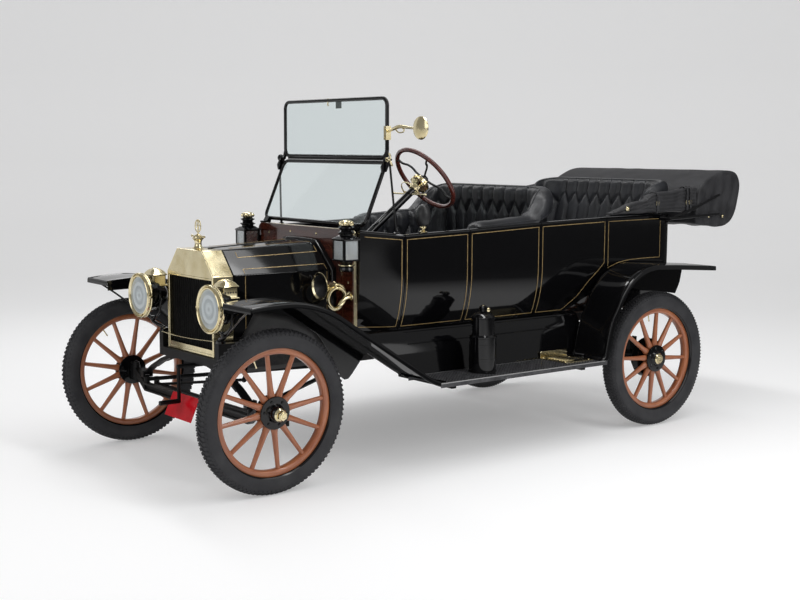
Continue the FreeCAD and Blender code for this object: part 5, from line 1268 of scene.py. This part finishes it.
fender_x = (590.0, 830.0)
fender_section = (
    # x, height over the fender's line
    (590, -2), (592, 0), (612, -1), (650, -0.2), (705, 0), (765, -0.4), (806, -2), (815, -3.5), (818, -1.0),
    (822, -0.2), (826, -1.2), (828.5, -4.5), (829.5, -9), (830, -26), (827, -26), (826.5, -10), (824, -6.5),
    (806, -5.5), (705, -3.2), (612, -3.8), (592, -3.2))


def arc_line(centre_y, centre_z, radius_y, radius_z, first, last, steps):
    """Points (y, z) along an arc of an ellipse between two angles in degrees."""
    points = []
    for step in range(steps + 1):
        angle = math.radians(first + (last - first) * step / steps)
        points.append((centre_y + radius_y * math.cos(angle), centre_z + radius_z * math.sin(angle)))
    return points


def rounded(line, radius, corners):
    """The line with the numbered corners drawn as short curves."""
    result = []
    for number, here in enumerate(line):
        if number not in corners:
            result.append(here)
            continue
        here = Vector(here)
        before = here + (Vector(line[number - 1]) - here).normalized() * radius
        after = here + (Vector(line[number + 1]) - here).normalized() * radius
        for step in range(7):
            t = step / 6
            result.append(tuple(before * (1 - t) ** 2 + here * 2 * t * (1 - t) + after * t ** 2))
    return result


def blade(line, section=fender_section):
    """A fender blade: its section carried along the fender's line, square to it."""
    points = []
    for number, (y, z) in enumerate(line):
        ahead = Vector(line[min(number + 1, len(line) - 1)]) - Vector(line[max(number - 1, 0)])
        ahead.normalize()
        for x, rise in section:
            points.append((x, y - ahead.y * rise, z + ahead.x * rise))
    return points, tube_faces(len(line), len(section))


def wall(top, bottom, x, thick=2.5):
    """A thin upright wall between two matched (y, z) lines."""
    points = []
    for (y0, z0), (y1, z1) in zip(top, bottom):
        points += [(x, y0, z0), (x, y1, z1), (x + thick, y1, z1), (x + thick, y0, z0)]
    return points, tube_faces(len(top), 4)


def height_on(line, y):
    """Height of a (y, z) line at y."""
    for (y0, z0), (y1, z1) in zip(line, line[1:]):
        if y0 <= y <= y1:
            return z0 + (z1 - z0) * (y - y0) / max(y1 - y0, 1e-6)
    return line[-1][1] if y > line[-1][0] else line[0][1]


front_line_yz = rounded([(y, 887 - (10 - y) ** 2 / 2944) for y in (-178, -150, -120, -80, -40)]
                        + arc_line(10, 331, 556, 556, 90, 57.9, 26) + [(856, 446), (914, 433.5)], 60, (32,))
front_low = [(-178, 824), (0, 828), (180, 784), (330, 692), (420, 560), (450, 484), (475, 460), (500, 458),
             (530, 488), (606, 580), (700, 522), (856, 432), (914, 430.3)]
rear_line_yz = rounded([(1994, 433.5), (2026, 446), (2052, 560), (2078, 650)]
                       + arc_line(2436, 560, 350, 363, 155, 90, 28) + [(2600, 915), (2923, 893)], 26, (1, 2))
rear_low = [(1994, 430.3), (2150, 424), (2230, 660), (2370, 770), (2700, 742), (2857, 718), (2900, 800), (2914, 876)]


def splash_wall(line, low, y0, y1):
    """The wall inside a fender, from its blade down to its lower edge."""
    stations = [y0 + (y1 - y0) * n / 48 for n in range(49)]
    return wall([(y, height_on(line, y) - 2) for y in stations], [(y, height_on(low, y)) for y in stations],
                fender_x[0])


front_hem = [(-172, 875.5), (-177, 873), (-180, 866), (-180, 848), (-177, 848), (-177, 865), (-172, 871)]
rear_hem = [(2918, 893), (2924, 890.5), (2926, 884), (2926, 868), (2923, 868), (2923, 883), (2918, 889)]
brace = bar([(800, -160, 868), (640, -115, 806), (292, -12, 652), (281, -8, 646)], 5, 10)
for node, line, low, y0, y1, extra in (
        ("front_fenders", front_line_yz, front_low, -176, 912, [plate(front_hem, 591, 829), brace]),
        ("rear_fenders", rear_line_yz, rear_low, 1996, 2912, [plate(rear_hem, 591, 829)])):
    fender = [blade(line), splash_wall(line, low, y0, y1)] + extra
    piece(node, fender + on_side("right", *fender), enamel, 50)

# the sheet inside each front fender slopes down to the frame rail
shield_rows = []
for n in range(13):
    share = n / 12
    top = Vector((589, -11 + 401 * share, height_on(front_low, -11 + 401 * share) + 4))
    foot = Vector((306, 68 + 322 * share, 648))
    for mix in range(7):
        place = top.lerp(foot, mix / 6) - Vector((0, 0, 8 * math.sin(math.pi * mix / 6)))
        shield_rows.append(place)
upper = [(7 * r + c, 7 * r + c + 1, 7 * (r + 1) + c + 1, 7 * (r + 1) + c) for r in range(12) for c in range(6)]
shield = build("fender_shields", [(shield_rows, upper), (other_side((shield_rows, upper)))])
thick = shield.modifiers.new("thickness", "SOLIDIFY")
thick.thickness = 0.002
hang(shield, chassis_black, "chassis", sharp=40)

apron_path = [(466, 655), (508, 652.5), (512, 650), (517, 640), (530, 618), (548, 590), (560, 530), (566, 470),
              (571.5, 424)]
apron_points = []
apron_stations = (672, 712, 752, 792, 832, 872, 912, 1462, 2118)
for y in apron_stations:
    low = height_on(front_line_yz, y) - 20 if y < 900 else 424
    apron_points += [(x, y, max(z, low)) for x, z in apron_path]
    apron_points += [(x - 2.6, y, max(z - 1.6, low)) for x, z in apron_path[::-1]]
apron = apron_points, tube_faces(len(apron_stations), 2 * len(apron_path))
apron_beads = [bar([(549.5, 900, 588), (549.5, 2112, 588)], 3, 8), bar([(516, 900, 644), (516, 2112, 644)], 2.2, 8)]
piece("aprons", both(apron, *apron_beads), enamel)

board_y = (885.0, 2040.0)
board_steel = worn("board steel", (0.045, 0.045, 0.048), 0.38, (30, 4), (0.28, 0.5),
                   ((0.030, 0.030, 0.033), (0.085, 0.085, 0.09)), metallic=0.35)
tray = [(572, 408), (572, 427), (575, 430), (827, 430), (830, 427), (830, 408), (827, 408), (827, 426), (575, 426),
        (575, 408)]
stud = build("stud", [([(592, 902, 429.6), (601, 906.5, 429.6), (592, 911, 429.6), (583, 906.5, 429.6),
                        (592, 904.5, 432.2), (596, 906.5, 432.2), (592, 908.5, 432.2), (588, 906.5, 432.2)],
                       tube_faces(2, 4))])
row_of_studs = grown(stud, line_tree, count=12, step=(0.0195, 0, 0), finish=board_steel)
second = bpy.data.objects.new("second row", row_of_studs.data.copy())
second.data.transform(Matrix.Translation((0.00975, 0.010, 0)))
pair_of_rows = joined("two rows", [row_of_studs, second])
studs = grown(pair_of_rows, line_tree, count=56, step=(0, 0.0202, 0), finish=board_steel)
left_board = joined("left board", [studs, build("tray", [plate(tray, board_y[0], board_y[1], "y")])])
right_board = bpy.data.objects.new("right board", left_board.data.copy())
mirror_x = Matrix.Scale(-1, 4, (1, 0, 0))
hang(joined("running_boards_piece", [left_board, joined("turned board", [right_board], mirror_x)]), board_steel,
     "chassis", "running_boards", 40)
edging = [plate([(571.6, 428.6), (571.6, 431.6), (580, 431.6), (580, 430)], 886, 2039, "y"),
          plate([(822, 430), (822, 431.8), (829.8, 431.8), (829.8, 422), (828.6, 422), (828.6, 430)], 886, 2039, "y")]
zinc = worn("board edging", (0.42, 0.42, 0.42), 0.3, (25,), (0.22, 0.42), metallic=1)
trim("board_edging", both(*edging), zinc)


# ---- Headlamps ------------------------------------------------------------------------------
# Acetylene lamps: a spun brass rim and lens, a black steel drum over a silvered reflector, and a vented
# brass chimney. A fork on a forged post carries each lamp from the frame rail.

lamp_at = Vector((354, -119, 818))
lens_glass, tree, shader = new_finish("lens glass", (0.80, 0.86, 0.87), 0.05, clear=0.25, bend=1.45)
place = add_node(tree, "ShaderNodeTexCoord").outputs["Object"]
for operation, value in (("ABSOLUTE", (0, 0, 0)), ("SUBTRACT", (lamp_at.x / 1000, 0, lamp_at.z / 1000)),
                         ("MULTIPLY", (1, 0, 1))):
    place = worked(tree, operation, place, value, kind="ShaderNodeVectorMath")
# the lens's base colour runs in pale and darker rings round its middle: painted light and shade of its prisms
wave = add_node(tree, "ShaderNodeTexWave", Vector=place, Scale=8, Distortion=0.6, Detail=1)
wave.wave_type = "RINGS"
wave.rings_direction = "SPHERICAL"
add_blend(tree, wave.outputs["Fac"], (0.52, 0.57, 0.59), (0.70, 0.76, 0.78), shader.inputs["Base Color"], 0.15, 0.8)
add_range(tree, add_noise(tree, 12), 0.02, 0.08, shader.inputs["Roughness"])
silver = worn("silvered reflector", (0.80, 0.83, 0.85), 0.22, (30,), (0.18, 0.36), metallic=1)


def moved(at, *steps):
    """Points set off from a place by steps."""
    return [at + Vector(step) for step in steps]


rim = turned([(0, 93), (-2.5, 95), (-3.5, 99), (-1, 102), (3, 103), (-1, 105), (-3.5, 109), (-2, 113.5), (4, 115),
              (9, 113), (11, 110), (14, 110), (17, 113), (22, 113), (25, 109), (27, 102), (27, 96), (6, 92)],
             lamp_at, (0, 1, 0), 56, True)
lens = turned([(2, 0), (2, 22), (0.5, 24), (2, 26), (2, 44), (0.5, 46), (2, 48), (2.5, 66), (1, 68), (2.5, 70),
               (4, 92), (7, 92), (6, 60), (5, 0)], lamp_at, (0, 1, 0), 48)
dish = turned([(27, 96), (34, 92), (46, 86), (60, 74), (71, 58), (77, 38), (79, 24), (80, 0), (82, 0), (81, 26),
               (79, 40), (72, 60), (61, 77), (47, 89), (30, 97)], lamp_at, (0, 1, 0), 48)
cone = turned([(20, 44), (22, 47), (40, 40), (72, 28), (72, 25), (38, 37), (20, 41)], lamp_at, (0, 1, 0), 32, True)
burner = [bar(moved(lamp_at, (0, 44, -60), (0, 44, -14)), 4, 10),
          bar(moved(lamp_at, (-9, 44, 6), (-6, 44, -10), (0, 44, -15), (6, 44, -10), (9, 44, 6)), 3, 8)]
drum = turned([(24, 96), (27, 101), (30, 99), (34, 96), (46, 92), (60, 86), (80, 76), (84, 77), (88, 75), (100, 67),
               (120, 59), (138, 47), (148, 32), (154, 16), (156, 0)], lamp_at, (0, 1, 0), 48)
latch = [bar(moved(lamp_at, (110, 4, -16), (110, 4, 16)), 4.5, 12),
         turned([(0, 6), (3, 7), (7, 5), (10, 7), (13, 0)], lamp_at + Vector((-111, 6, 0)), (-1, 0, 0), 16)]


def squared(at, rows):
    """A squared form in steps: rows of (height, half width, half depth, corner radius)."""
    points = []
    for height, half_x, half_y, corner in rows:
        for quarter, (sign_x, sign_y) in enumerate(((1, 1), (-1, 1), (-1, -1), (1, -1))):
            for step in range(5):
                angle = math.pi / 2 * quarter + math.pi / 2 * step / 4
                points.append(at + Vector((sign_x * (half_x - corner) + corner * math.cos(angle),
                                           sign_y * (half_y - corner) + corner * math.sin(angle), height)))
    return points, tube_faces(len(rows), 20)


chimney_at = lamp_at + Vector((0, 94, 0))
chimney = squared(chimney_at, [(44, 52, 47, 8), (48, 53, 48, 8), (52, 52, 47, 8), (54, 45, 40, 8), (58, 44, 39, 8),
                               (97, 44, 39, 8), (99, 49, 44, 10), (103, 51, 46, 10), (106, 49, 44, 10),
                               (109, 45, 41, 12), (114, 43, 39, 14), (122, 36, 33, 16), (129, 26, 24, 14),
                               (133, 14, 13, 10), (135, 4, 4, 3)])
flute_rows = []
for n in range(-3, 4):
    x, drop = n * 12, abs(n)
    flute_rows.append(moved(chimney_at, (x, -40 + drop * 1.5, 109), (x * 0.82, -30, 121 - drop),
                            (x * 0.5, -15, 131 - drop), (x * 0.2, -3, 134)))
for n in range(-2, 3):
    y, drop = n * 13, abs(n)
    flute_rows.append(moved(chimney_at, (44 - drop * 1.5, y, 109), (33, y * 0.82, 121 - drop),
                            (17, y * 0.5, 131 - drop), (3, y * 0.2, 134)))
flute_rows = [bar(smooth_path(row, 3), 2.2, 6) for row in flute_rows]
# the vents are dark discs laid on the chimney: painted shade in their holes
vent_hole_shade = worn("vent dark", (0.01, 0.008, 0.005), 0.8, (40,), (0.7, 0.9))
vents = []
for place, way, step in (((43.6, -28, 76), (1, 0, 0), (0, 0.014, 0)), ((-28, -38.6, 76), (0, -1, 0), (0.014, 0, 0))):
    vent = build("vent", [turned([(0, 4.4), (0.8, 4.4)], chimney_at + Vector(place), way, 14)])
    vents.append(grown(vent, line_tree, count=5, step=step, finish=vent_hole_shade))
vents = joined("vents", vents)
arm = ((79, 76, 6), (86, 76, -30), (72, 76, -82), (30, 76, -112))
fork = smooth_path(moved(lamp_at, *arm, (0, 76, -118), *((-x, y, z) for x, y, z in arm[::-1])), 6)
post = smooth_path(moved(lamp_at, (0, 76, -114), (-2, 76, -134)) + [(310, -34, 668), (281, -16, 655)], 5)
mount = [bar(fork, 6.5, 12), bar(post, 10, 14),
         squared(Vector((281, -15, 640.3)), [(0, 17, 20, 5), (11, 17, 20, 5), (15, 14, 16, 5)]),
         turned([(0, 13), (10, 13), (14, 9), (20, 9)], lamp_at + Vector((0, 76, -128)), (0, 0, 1), 20),
         turned([(0, 8), (4, 8), (7, 5), (9, 0)], (281, -28, 654), (0, 0, 1), 6)]


def lamp_pair(name, node, *parts):
    """A pair of lamps, each in parts (name, forms, finish, slot, sharp), the slot not used; the first part stands for
    the node.
    """
    for side in ("left", "right"):
        for part, forms, finish, slot_name, sharp in parts:
            stands_for = node if (side, part) == ("left", parts[0][0]) else ""
            hang(build("%s_%s_%s" % (name, side, part), on_side(side, *forms)), finish, "chassis",
                 stands_for, sharp)


lamp_pair("headlamp", "headlamps", ("rim", [rim, chimney, *latch, *flute_rows], brass, "brass", 35),
          ("lens", [lens], lens_glass, "glass", 35), ("reflector", [dish, cone, *burner], silver, "brass", 35),
          ("drum", [drum, *mount], enamel, "black_enamel", 35))
right_vents = bpy.data.objects.new("right vents", vents.data.copy())
hang(joined("headlamp_vents", [joined("left vents", [vents]), joined("flipped", [right_vents], mirror_x)]),
     vent_hole_shade, "chassis", sharp=40)


# ---- Side lamps -----------------------------------------------------------------------------
# Square oil lamps of black japanned sheet: bevelled glass in front and outside, a stepped vented chimney
# with a pierced crown, and a brass collar over the oil font. A bracket bolts each to the firewall.

side_lamp_at = Vector((460, 586, 1068))
cage = [squared(side_lamp_at, rows) for rows in (
    [(-53, 44, 44, 5), (-53, 50, 50, 5), (-47, 50, 50, 5), (-45, 47, 47, 4), (-45, 30, 30, 4)],
    [(46, 30, 30, 4), (46, 47, 47, 4), (49, 52, 51, 5), (54, 54, 52, 6), (57, 50, 49, 8), (66, 38, 38, 14),
     (72, 32, 32, 16), (74, 20, 20, 12)])]
for sx, sy in ((1, 1), (1, -1), (-1, 1), (-1, -1)):
    cage.append(squared(side_lamp_at + Vector((sx * 42, sy * 42, 0)), [(-46, 6, 6, 1.5), (47, 6, 6, 1.5)]))


def lamp_sheet(half, low, high, near, far, facing):
    """A sheet of a side lamp: half its width, its lower and upper edge, and its two faces."""
    points, faces = plate([(-half, low), (half, low), (half, high), (-half, high)], near, far, facing)
    return moved(side_lamp_at, *points), faces


inner_wall = [lamp_sheet(40, -46, 47, 40, 43, "y"), lamp_sheet(40, -46, 47, -43, -40, "x")]
panes = [lamp_sheet(37, -45, 46, -47, -44, "y"), lamp_sheet(37, -45, 46, 44, 47, "x")]
stack = turned([(70, 30), (76, 31), (80, 38), (84, 42), (87, 42), (89, 34), (96, 27), (100, 29), (104, 36), (108, 39),
                (111, 38), (113, 30), (118, 24), (121, 25), (124, 31), (128, 32), (130, 26), (134, 20)], side_lamp_at,
               (0, 0, 1), 36)
crown_points = turned([(120, 30), (126, 33), (131, 34), (137, 31), (142, 24), (146, 14), (148, 0)], side_lamp_at,
                      (0, 0, 1), 28)
crown = ([point + (Vector((point.x - side_lamp_at.x, point.y - side_lamp_at.y, 0)) * (0.10 if n % 2 else -0.08))
          for n, point in enumerate(crown_points[0])], crown_points[1])
beads = []
ring = ((-39.5, -47), (39.5, -47), (39.5, 48), (-39.5, 48))
for corners in ([(across, -47, z) for across, z in ring], [(47, across, z) for across, z in ring]):
    beads += [bar(moved(side_lamp_at, a, b), 2.6, 8) for a, b in zip(corners, corners[1:] + corners[:1])]
font = [turned([(-53, 30), (-56, 32), (-60, 30), (-63, 22), (-70, 20)], side_lamp_at, (0, 0, 1), 32),
        turned([(-78, 20), (-84, 34), (-96, 38), (-104, 34), (-106, 0)], side_lamp_at, (0, 0, 1), 32)]
collar = turned([(-68, 24), (-69, 36), (-71, 40), (-75, 41), (-78, 38), (-80, 28), (-80, 22)], side_lamp_at,
                (0, 0, 1), 32)
bracket = [plate([(side_lamp_at.y + 46, 1022), (639.7, 1022), (639.7, 1086), (side_lamp_at.y + 46, 1086)], 414, 436),
           bar([(425, 634, 1090), (425, 634, 1018)], 5, 10)]
lamp_glass = worn("lamp glass", (0.86, 0.89, 0.90), 0.04, (16,), (0.02, 0.09), clear=0.72)
inside = turned([(-46, 20), (-40, 20), (-36, 12), (-24, 8), (-20, 8), (-18, 0)], side_lamp_at, (0, 0, 1), 24)
lamp_pair("side_lamp", "side_lamps", ("case", [*cage, stack, *beads, *bracket, *font], enamel, "black_enamel", 35),
          ("liner", inner_wall, silver, "black_enamel", 35), ("panes", panes, lamp_glass, "glass", 35),
          ("brass", [collar, crown, inside], brass, "brass", 50))


# ---- Horn -----------------------------------------------------------------------------------
# A brass horn hung beside the hood: a spun bell, its tube wound in a double loop, and a rubber bulb
# within the driver's reach on the body rail.

horn_at = Vector((400, 470, 893))
bulb_rubber = worn("bulb rubber", (0.012, 0.012, 0.013), 0.38, (40, 4), (0.3, 0.5), specular=0.45)
bell = turned([(0, 64), (-1.5, 66), (0.5, 68), (3, 66), (5, 61), (12, 52), (24, 41), (40, 30), (60, 21),
               (80, 15.5), (84, 18), (92, 18), (96, 13), (96, 11), (60, 17), (40, 26), (24, 37), (12, 48),
               (4, 58)], horn_at, (0, 1, 0), 48, True)
loops = moved(horn_at, (0, 90, 0), (0, 112, -2), (1, 134, -14), (2, 146, -42), (3, 138, -84), (3, 112, -112),
              (4, 80, -116), (5, 52, -92), (6, 46, -58), (8, 60, -28), (14, 88, -14), (19, 118, -22),
              (20, 137, -46), (20, 130, -80), (21, 108, -100), (22, 100, -96), (24, 118, -76), (25, 150, -64),
              (25, 169, -62))
tube_path = smooth_path(loops, 5)
tube_radii = [11 - 2.5 * n / len(tube_path) for n in range(len(tube_path))]
rings = [turned([(-5, 0), (-5, 13), (5, 13), (5, 0)], horn_at + Vector(at), way, 20) for at, way in (
    ((0, 112, -2), (0, 1, -0.2)), ((3, 100, -115), (0, 1, 0.1)), ((16, 100, -15), (0, 1, 0)))]
brace = [bar(moved(horn_at, (3, 138, -60), (12, 169.5, -40)), 5, 10),
         turned([(0, 16), (4, 16), (6, 10)], horn_at + Vector((25, 169.6, -62)), (0, -1, 0), 20)]
# a dark rubber lining inside the brass bell: painted shade deep in its throat
throat_shade = turned([(4.6, 57), (12, 47), (24, 36), (40, 25), (60, 16), (84, 11.5), (85, 0), (82, 0), (81, 10),
                 (59, 14.8), (39, 23.8), (23, 34.8), (11.5, 45.8), (4.2, 56)], horn_at, (0, 1, 0), 48, True)
trim("horn_throat", [throat_shade], bulb_rubber)
piece("horn", [bell, bar(tube_path, tube_radii, 14)] + rings + brace, brass, 35)
bulb_at = Vector((540, 1000, rail_z(1024) + 0.4))
ferrule = [turned([(0, 22), (4, 22), (6, 15), (10, 11), (18, 11), (20, 16), (26, 17), (30, 15)], bulb_at,
                  (0, 0, 1), 28)]
trim("horn_ferrule", ferrule, brass)
bulb = turned([(28, 12), (32, 22), (42, 31), (56, 36.5), (72, 38.5), (88, 38.5), (104, 36), (120, 30), (132, 21),
               (140, 11), (143, 0)], bulb_at, (0, 0, 1), 32)
trim("horn_bulb", [bulb], bulb_rubber, 50)


# ---- Gas generator and boot scraper ---------------------------------------------------------
# A two-part black tank on the running board makes acetylene for the headlamps. The scraper behind it is a
# cast brass plate with a slot to draw a boot sole through.

tank_at = Vector((692, 1270, 430.3))
tank = turned([(0, 66), (2, 71), (8, 71), (9, 69), (176, 69), (178, 71.5), (184, 71.5), (188, 66), (191, 61),
               (193, 59), (274, 59), (276, 61), (283, 61), (287, 56), (297, 46), (304, 30), (309, 20), (311, 17),
               (320, 17), (322, 20), (334, 20), (338, 15), (342, 0)], tank_at, (0, 0, 1), 48)
valve = [bar(moved(tank_at, (0, 0, 322), (38, 0, 322)), 4, 10),
         turned([(-2, 9), (0, 11), (5, 11), (7, 8)], tank_at + Vector((38, 0, 322)), (1, 0, 0), 16)]
straps = [turned([(0, 69.5), (0.5, 71), (14, 71), (14.5, 69.5)], tank_at + Vector((0, 0, z)), (0, 0, 1), 48)
          for z in (60, 132)]
feet = [squared(tank_at + Vector((x, y, 0)), [(0, 12, 16, 3), (5, 12, 16, 3)]) for x, y in ((76, 0), (-76, 0))]
piece("generator", [tank, *straps, valve[0], *feet], enamel, 35)
valve_cap = turned([(0, 8), (4, 8), (5, 0)], tank_at + Vector((0, 0, 338)), (0, 0, 1), 20)
trim("generator_brass", [valve[1], valve_cap], brass, 35)

scraper_x, scraper_y, scraper_z = (574.0, 775.0), (1785.0, 1985.0), 430.3
outer = [(scraper_x[0] + 4, scraper_y[0]), (scraper_x[1], scraper_y[0]), (scraper_x[1], scraper_y[1]),
         (scraper_x[0] + 4, scraper_y[1]), (scraper_x[0], scraper_y[1] - 4), (scraper_x[0], scraper_y[0] + 4)]
scraper = carve(build("scraper", [plate(outer, scraper_z, scraper_z + 5.6, "z")]),
                build("boot slot", [box((629, 720), (1918, 1952), (scraper_z - 5, scraper_z + 12))]))
rim_up = build("scraper edge", [plate([(1785, scraper_z), (1985, scraper_z), (1985, scraper_z + 34),
                                       (1979, scraper_z + 39), (1791, scraper_z + 39), (1785, scraper_z + 34)],
                                      574, 579.6)])
bars = [bar([(612 + 20 * n, 1812, scraper_z + 6.5), (612 + 20 * n, 1890, scraper_z + 6.5)], 3, 8) for n in range(7)]
ends = [turned([(0, 7), (2, 6), (3, 0)], (x, y, scraper_z + 5.4), (0, 0, 1), 16)
        for x in (588, 756) for y in (1798, 1972)]
boot_scraper = joined("boot_scraper_piece", [scraper, rim_up, build("scraper ribs", bars + ends)])
hang(soften(boot_scraper, 0.8), brass, "chassis", "boot_scraper", 35)


# ---- Engine, gearbox and exhaust ------------------------------------------------------------
# Cast iron block under the hood with a pressed pan below it, and the exhaust pipe with its wrapped muffler
# hung along the right of the car. They show only from below and past the hood's edges.

cast_iron = worn("cast iron", (0.028, 0.028, 0.03), 0.62, (45, 5), (0.5, 0.76),
                 ((0.018, 0.018, 0.020), (0.055, 0.052, 0.05)), ((180, 3), 0.3, 0.0006), metallic=0.5)
for node, edge in (("engine", 4.0), ("exhaust", 0)):
    dress(node, cast_iron, edge)


# ---- Floor, pedals and hand lever -----------------------------------------------------------
# Pine floor boards and seat boxes stained dark, forged pedals with ribbed pads, and the hand brake.

floor_wood = wood_finish("floor boards", (0.060, 0.030, 0.016), (0.020, 0.010, 0.006), 0.48, 0.1)
boards = dress("floor", floor_wood, 1.2)
grain_by(boards, lambda p: (p.y, p.x, p.z))
pedals_x = (110, 165, 310)
pedal_pads = [squared(Vector((x, 787, 840)), [(-28, 24, 7, 5), (-26, 26, 8, 5), (26, 26, 8, 5), (28, 24, 7, 5)])
              for x in pedals_x]
pedal_ribs = [bar([(x - 22, 778.4, 820 + 10 * n), (x + 22, 778.4, 820 + 10 * n)], 1.6, 6)
              for x in pedals_x for n in range(5)]
pedal_arms = [bar(smooth_path([(x, 864, 661), (x, 846, 720), (x, 806, 800), (x, 790, 842)], 5), 7.5, 10)
              for x in pedals_x]
lever = [bar(smooth_path([(420, 1130, 656), (420, 1127, 760), (420, 1112, 920), (420, 1098, 1030)], 5), 8.5, 12),
         bar([(420, 1098, 1022), (420, 1097, 1048), (420, 1096, 1072), (420, 1096, 1086)], [8, 11, 11, 5], 14),
         bar([(420, 1084, 1040), (420, 1106, 930), (420, 1108, 900)], 3, 8)]
piece("controls", pedal_pads + pedal_ribs + pedal_arms + lever, chassis_black)


# ---- Red plate ------------------------------------------------------------------------------
# A plain pressed plate, enamelled red, hung by two hooks below the front axle. It carries no words.

red_enamel = worn("red enamel", (0.55, 0.004, 0.012), 0.3, (16, 4), (0.16, 0.34),
                  ((0.46, 0.003, 0.009), (0.62, 0.006, 0.016)), specular=0.3, coat=0.08)
dress("blank_plate", red_enamel, 0.8)


# ---- The studio -----------------------------------------------------------------------------
# A pale floor that sweeps up behind the car, five soft lamps and the camera.

away = Vector((-math.sin(math.radians(52.3)), math.cos(math.radians(52.3)), 0))
beside = Vector((away.y, -away.x, 0))
floor_paint, tree, shader = new_finish("studio floor", (0.80, 0.80, 0.81), 0.75, specular=0.2)
add_range(tree, add_noise(tree, 0.6), 0.66, 0.82, shader.inputs["Roughness"])
rays = add_node(tree, "ShaderNodeLightPath").outputs

# from a few metres off the car's side the floor turns near black to glossy rays only, while the camera sees it pale: a
# painted dark reflection in the enamel
spot = add_node(tree, "ShaderNodeTexCoord").outputs["Object"]
off_side = worked(tree, "DOT_PRODUCT", spot, beside, kind="ShaderNodeVectorMath").node.outputs["Value"]
fade = add_node(tree, "ShaderNodeMapRange", Value=off_side, From_Min=2.2, From_Max=4.6, To_Max=0.93)
mirrored = worked(tree, "SUBTRACT", rays["Is Glossy Ray"], rays["Is Transmission Ray"])
mirrored.node.use_clamp = True
dark_to_glossy_rays = worked(tree, "MULTIPLY", fade.outputs["Result"], mirrored)
add_blend(tree, dark_to_glossy_rays, (0.76, 0.76, 0.765), (0.02, 0.02, 0.02), shader.inputs["Base Color"], 0.0, 1.0)
# the floor glows to rays straight from a camera, mirrored or seen through glass
level = worked(tree, "MULTIPLY_ADD", dark_to_glossy_rays, -0.26, 0.26)
shown = worked(tree, "MAXIMUM", worked(tree, "MAXIMUM", rays["Is Camera Ray"], rays["Is Glossy Ray"]),
               rays["Is Transmission Ray"])
tree.links.new(worked(tree, "MULTIPLY", level, shown), shader.inputs["Emission Strength"])
shader.inputs["Emission Color"].default_value = (1, 1, 1, 1)

sweep = [(-14.0, 0.0), (5.5, 0.0), (7.2, 0.12), (8.6, 0.55), (9.6, 1.35), (10.1, 2.6), (10.2, 12.0)]
rows = []
for reach, height in sweep:
    rows += [away * reach + beside * wide + Vector((0, 0, height)) for wide in (-22.0, 22.0)]
floor_mesh = bpy.data.meshes.new("studio floor")
floor_mesh.from_pydata(rows, [], [(2 * n, 2 * n + 1, 2 * n + 3, 2 * n + 2) for n in range(len(sweep) - 1)])
studio = bpy.data.objects.new("studio floor", floor_mesh)
bpy.context.scene.collection.objects.link(studio)
floor_mesh.materials.append(floor_paint)
smooth = studio.modifiers.new("sweep", "BEVEL")
smooth.width = 0.8
smooth.segments = 6
floor_mesh.shade_smooth()

LAMPS = (
    # name, place, size, watts
    ("long strip left", (2.6, 0.2, 4.6), (0.6, 6.5), 60.0),
    ("long strip middle", (0.2, 0.2, 5.0), (0.7, 7.0), 60.0),
    ("long strip right", (-2.4, 0.2, 4.6), (0.6, 6.5), 50.0),
    ("side window", (6.0, 1.5, 3.2), (4.5, 3.5), 70.0),
    ("front window", (1.0, -6.2, 3.0), (4.5, 3.0), 60.0),
)
for label, place, size, watts in LAMPS:
    light = bpy.data.lights.new(label, "AREA")
    light.shape = "RECTANGLE"
    light.size, light.size_y = size
    light.energy = watts
    lamp = bpy.data.objects.new(label, light)
    lamp.location = place
    lamp.rotation_euler = (Vector((0, 0, 0.5)) - Vector((place[0], place[1] if "window" in label else 0, place[2]))
                           ).to_track_quat("-Z", "Y").to_euler()
    bpy.context.scene.collection.objects.link(lamp)

world = bpy.data.worlds.new("studio air")
world.use_nodes = True
bpy.context.scene.world = world
tree = world.node_tree
air = tree.nodes["Background"]
air.inputs["Color"].default_value = (1, 1, 1, 1)
rays = add_node(tree, "ShaderNodeLightPath").outputs
shown = worked(tree, "MAXIMUM", rays["Is Camera Ray"], rays["Is Transmission Ray"])
level = add_node(tree, "ShaderNodeMapRange", Value=shown, To_Min=0.50, To_Max=0.85)
# glossy rays see the world dimmer than other rays do: painted darker reflections in enamel and brass
reflections_dimmed_strength = worked(tree, "MULTIPLY_ADD", rays["Is Glossy Ray"], -0.22, level.outputs["Result"])
tree.links.new(reflections_dimmed_strength, air.inputs["Strength"])

view = bpy.data.cameras.new("view")
view.sensor_width = 36
view.lens = 58.64
camera = bpy.data.objects.new("view", view)
camera.matrix_world = (Matrix.Translation((5.6168, -4.5945, 1.5706)) @ Matrix.Rotation(math.radians(52.29), 4, "Z")
                       @ Matrix.Rotation(math.radians(90 - 6.739), 4, "X")
                       @ Matrix.Rotation(math.radians(0.199), 4, "Z"))
bpy.context.scene.collection.objects.link(camera)
bpy.context.scene.camera = camera
bpy.context.scene.view_settings.view_transform = "Standard"
